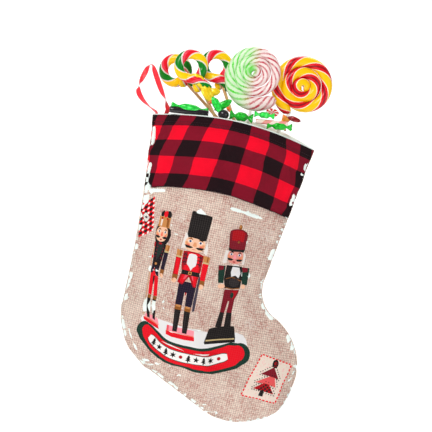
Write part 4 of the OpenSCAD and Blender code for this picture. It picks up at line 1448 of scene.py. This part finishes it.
def wrapped(name, place, length, r, fan, tilt, material):
    """A sweet in film twisted at both ends, its length across; pleated fans at the ends."""
    t = [0, 0.03, 0.08, 0.15, 0.20, 0.25, 0.34, 0.42, 0.5, 0.58, 0.66, 0.75, 0.80, 0.85, 0.92, 0.97, 1]
    half = [fan, fan * 0.95, fan * 0.7, fan * 0.42, 1.3, r * 0.6, r, r * 1.04]
    size = half + [r * 1.02] + half[::-1]
    n, m = len(t), 36
    c, s = math.cos(math.radians(tilt)), math.sin(math.radians(tilt))
    verts = []
    for i in range(n):
        end = min(t[i], 1 - t[i]) < 0.22
        for k in range(m):
            w = 2 * math.pi * k / m
            pleat = 1 + (0.30 * math.cos(7 * w + 5 * t[i]) if end else 0.05 * math.sin(3 * w + 19 * t[i]))
            flat = 0.55 if end else 1.0
            x = (t[i] - 0.5) * length + (0.6 * math.sin(5 * w) if end else 0)
            y = size[i] * pleat * math.cos(w) * flat
            z = size[i] * pleat * math.sin(w)
            verts.append(at_mouth(place, x * c + z * s, y, -x * s + z * c))
    faces, uv = ring_mesh(n - 1, m, lambda ring, step: (ring, 0.5 + 0.5 * math.sin(2 * math.pi * step / m)))
    faces += [tuple(range(m)), tuple(range((n - 1) * m, n * m))[::-1]]
    uv += [(0, 0.5)] * (2 * m)
    return new_piece(name, verts, faces, material, uv)


def film_leaf(name, place, length, width, turn, curl, material):
    """A pointed leaf of film with a raised fold down its middle."""
    verts = []
    rows, columns = 12, 6
    c, s = math.cos(math.radians(turn)), math.sin(math.radians(turn))
    for i in range(rows + 1):
        t = i / rows
        half = width / 2 * (math.sin(math.pi * t) ** 0.7 + 0.04)
        for j in range(columns + 1):
            q = j / 3 - 1
            x, z = (t - 0.5) * length, q * half * (1 + 0.06 * math.sin(9 * t + j))
            y = -curl * (1 - q * q) * math.sin(math.pi * t) + 0.5 * math.cos(11 * t + 2 * j)
            verts.append(at_mouth(place, x * c + z * s, y, -x * s + z * c))
    return thicken(new_piece(name, verts, grid_faces(rows, columns), material), 0.35 * MM)


def ball(name, place, r, stretch, material):
    """A ball stretched across the mouth."""
    rows, m = 14, 28
    verts = []
    for down in math.pi * np.arange(1, rows) / rows:
        for w in 2 * math.pi * np.arange(m) / m:
            verts.append(at_mouth(place, stretch * r * math.sin(down) * math.cos(w),
                                  r * math.sin(down) * math.sin(w), r * math.cos(down)))
    top, low = len(verts), len(verts) + 1
    verts += [at_mouth(place, 0, 0, r), at_mouth(place, 0, 0, -r)]
    faces = ring_mesh(rows - 2, m, lambda ring, step: (0, 0))[0]
    for k in range(m):
        faces.append((top, k, (k + 1) % m))
        faces.append((low, (rows - 2) * m + (k + 1) % m, (rows - 2) * m + k))
    return new_piece(name, verts, faces, material)


def make_lollipops():
    birch = stick_material("birch", hue(226, 178, 122), 0.35)
    paper = stick_material("rolled_paper", hue(244, 240, 232), 0.10)
    pale_centre = leaned(PALE_AT, [(0, 0, 0)])[0]
    own(swirl_pop("pale_pop", PALE_AT, 37.5, 5.4, 5.5, 2.9, 48, 0.5, pale_candy_material(pale_centre), (-4, 3)),
        "pale_pop", "pale_pop_candy")
    own(swirl_pop("gold_pop", GOLD_AT, 40, 6.4, 6.3, 2.45, 0, 0, gold_candy_material(), (-2, -2)),
        "gold_pop", "gold_pop_candy")
    for name, at, radius, rope in (("pale_pop", PALE_AT, 37.5, 5.4), ("gold_pop", GOLD_AT, 40, 6.4)):
        own(pop_stick(name, at, swirl_edge(radius, rope) - 8, 100, paper), name, name + "_stick")
    rope = loop_candy_material()
    for name, at, drop, length, cross, trail in (("left_pop", LEFT_AT, 22, 108, 2.4, 6),
                                                 ("middle_pop", MIDDLE_AT, 32, 88, -1.4, 3),
                                                 ("right_pop", RIGHT_AT, 28, 88, -2.4, 5)):
        own(rope_loop_pop(name, at, drop, rope, cross, trail), name, name + "_candy")
        own(pop_stick(name, at, drop - 8, length, birch), name, name + "_stick")
    # crumpled film tied at the neck of the middle looped pop
    yellow = film_material("yellow_film", hue(255, 214, 20), shade=0.72)
    orange = film_material("neck_orange_film", hue(255, 96, 24), shade=0.72)
    for name, place, length, width, turn, film in (("upper", (50, -51, -12.6), 30, 13, 34, yellow),
                                                   ("lower", (61, -40, -13.4), 27, 13, 48, yellow),
                                                   ("side", (68, -43, -12.2), 17, 10, -16, yellow),
                                                   ("tip", (70, -32, -13), 13, 7, -24, orange)):
        own(film_leaf("middle_pop_film_" + name, place, length, width, turn, 1.8, film), "middle_pop",
            "middle_pop_candy")
    # gathered foil under the gold lollipop
    drop = swirl_edge(40, 6.4)
    profile = [(5.6, 0.2), (4.6, -3), (3.2, -8), (4.4, -12), (6.6, -15), (7.0, -16)]
    m, verts = 40, []
    for r, z in profile:
        for k in range(m):
            w = 2 * math.pi * k / m
            pleat = 1 + 0.16 * math.cos(9 * w + z * 0.2)
            verts.append((r * pleat * math.cos(w), r * pleat * math.sin(w), z - drop - 0.2))
    faces = ring_mesh(len(profile) - 1, m, lambda ring, step: (0, 0))[0]
    foil = new_piece("gold_pop_foil_skirt", leaned(GOLD_AT, verts), faces,
                     film_material("orange_foil", hue(250, 150, 24)))
    own(thicken(foil, 0.4 * MM), "gold_pop", "gold_pop_foil")


def make_wrapped_sweets():
    green = film_material("green_film", hue(14, 196, 36), rough=0.16)
    bright = film_material("bright_green_film", hue(40, 236, 76), rough=0.16)
    # black for the sweets' own dark parts; the long bar set low at the rim also stands in for the shade in the
    # gap there
    dark = gloss("black_sweet_and_rim_shade", 0.2, 0.7, Base_Color=hue(20, 14, 22))[0].material
    orange = film_material("orange_film", hue(255, 110, 10))
    wine = film_material("wine_film", hue(150, 8, 22))
    mint = striped_material("mint_stripes", 7.0, hue(206, 10, 26), hue(246, 232, 226), 0.62)
    pink = striped_material("pink_stripe_candy", 0.055, hue(238, 150, 142), hue(246, 222, 212), 0.5)
    long, bow, stick = ("long_wrapped", "_sweet"), ("foil_bow", "_sweet"), ("candy_stick", "")
    for make, name, place, *shape, film, sweet, slot in (
            # the bar reaches down to the rim: its lower part is a dark thing standing in for shade there, the
            # rest is the sweet's own black
            (candy_bar, "long_dark_bar", (44, -12.8, -20.0), 48, 4, 6, dark, long, "green_wrapper"),
            (wrapped, "long_film", (44, -17, -20.2), 45, 4.4, 3.0, -3, bright, long, "green_wrapper"),
            (film_leaf, "bow_leaf_left", (76, -27, -24), 25, 9.5, 48, 2, bright, bow, "green_wrapper"),
            (film_leaf, "bow_leaf_right", (83, -29, -21.5), 25, 9.5, -42, 2, green, bow, "green_wrapper"),
            (ball, "bow_ball", (86, -18, -23), 6, 1.15, dark, bow, "green_wrapper"),
            (film_leaf, "bow_orange", (91, -25.5, -22), 8, 4.5, 40, 1, orange, bow, "green_wrapper"),
            (wrapped, "green_sweet", (108, -20, -24), 28, 5.2, 5, -4, green, ("green_wrapped", "_sweet"),
             "green_wrapper"),
            (wrapped, "small_sweet", (135, -27.8, -26.8), 24, 3.6, 3.2, -6, bright, ("small_wrapped", "_sweet"),
             "green_wrapper"),
            (mint_disc, "mint_disc", (144, -33.4, -19.8), mint, ("striped_mint", ""), "striped_candy"),
            (candy_bar, "pink_bar", (146, -21, -24), 40, 3, 7, pink, stick, "pink_candy"),
            (wrapped, "stick_film", (156, -18.6, -24.6), 30, 4.2, 3.8, -7, green, stick, "pink_candy"),
            (film_leaf, "wine_leaf", (172, -31.5, -16), 17, 6.5, 6, 1.4, wine, ("red_wrapped", "_sweet"),
             "red_wrapper")):
        own(make(name, place, *shape, film), sweet[0] + "_body", sweet[0] + sweet[1])


def candy_bar(name, place, length, r, rise, material):
    """A round bar lying across the mouth, its toe end raised by rise degrees."""
    c, s = math.cos(math.radians(rise)), math.sin(math.radians(rise))
    t = np.concatenate([[-0.5, -0.49], np.linspace(-0.47, 0.47, 12), [0.49, 0.5]]) * length
    path = [at_mouth(place, v * c, 0, v * s) for v in t]
    size = np.array([0.72, 0.9] + [1.0] * 12 + [0.9, 0.72])
    return swept(name, path, round_section(r * MM, r * MM, 22), material, size)


def mint_disc(name, place, material):
    """Flat round mint with soft edges; its stripes fan out from the middle."""
    profile = [(0.01, 3.5), (4.0, 3.5), (6.4, 3.2), (7.6, 2.2), (8.0, 0.8), (8.0, -0.8), (7.6, -2.2),
               (6.4, -3.2), (4.0, -3.5), (0.01, -3.5)]
    m, verts = 36, []
    for r, y in profile:
        for k in range(m):
            w = 2 * math.pi * k / m
            verts.append(at_mouth(place, r * math.cos(w), -y, 0.62 * r * math.sin(w)))
    faces, uv = ring_mesh(len(profile) - 1, m, lambda ring, step: (step / m, profile[ring][0] * 0.02), True)
    return new_piece(name, verts, faces, material, uv)


add_camera()
add_studio()
make_cloth()
make_ribbon()
make_stitches()
make_lollipops()
make_wrapped_sweets()
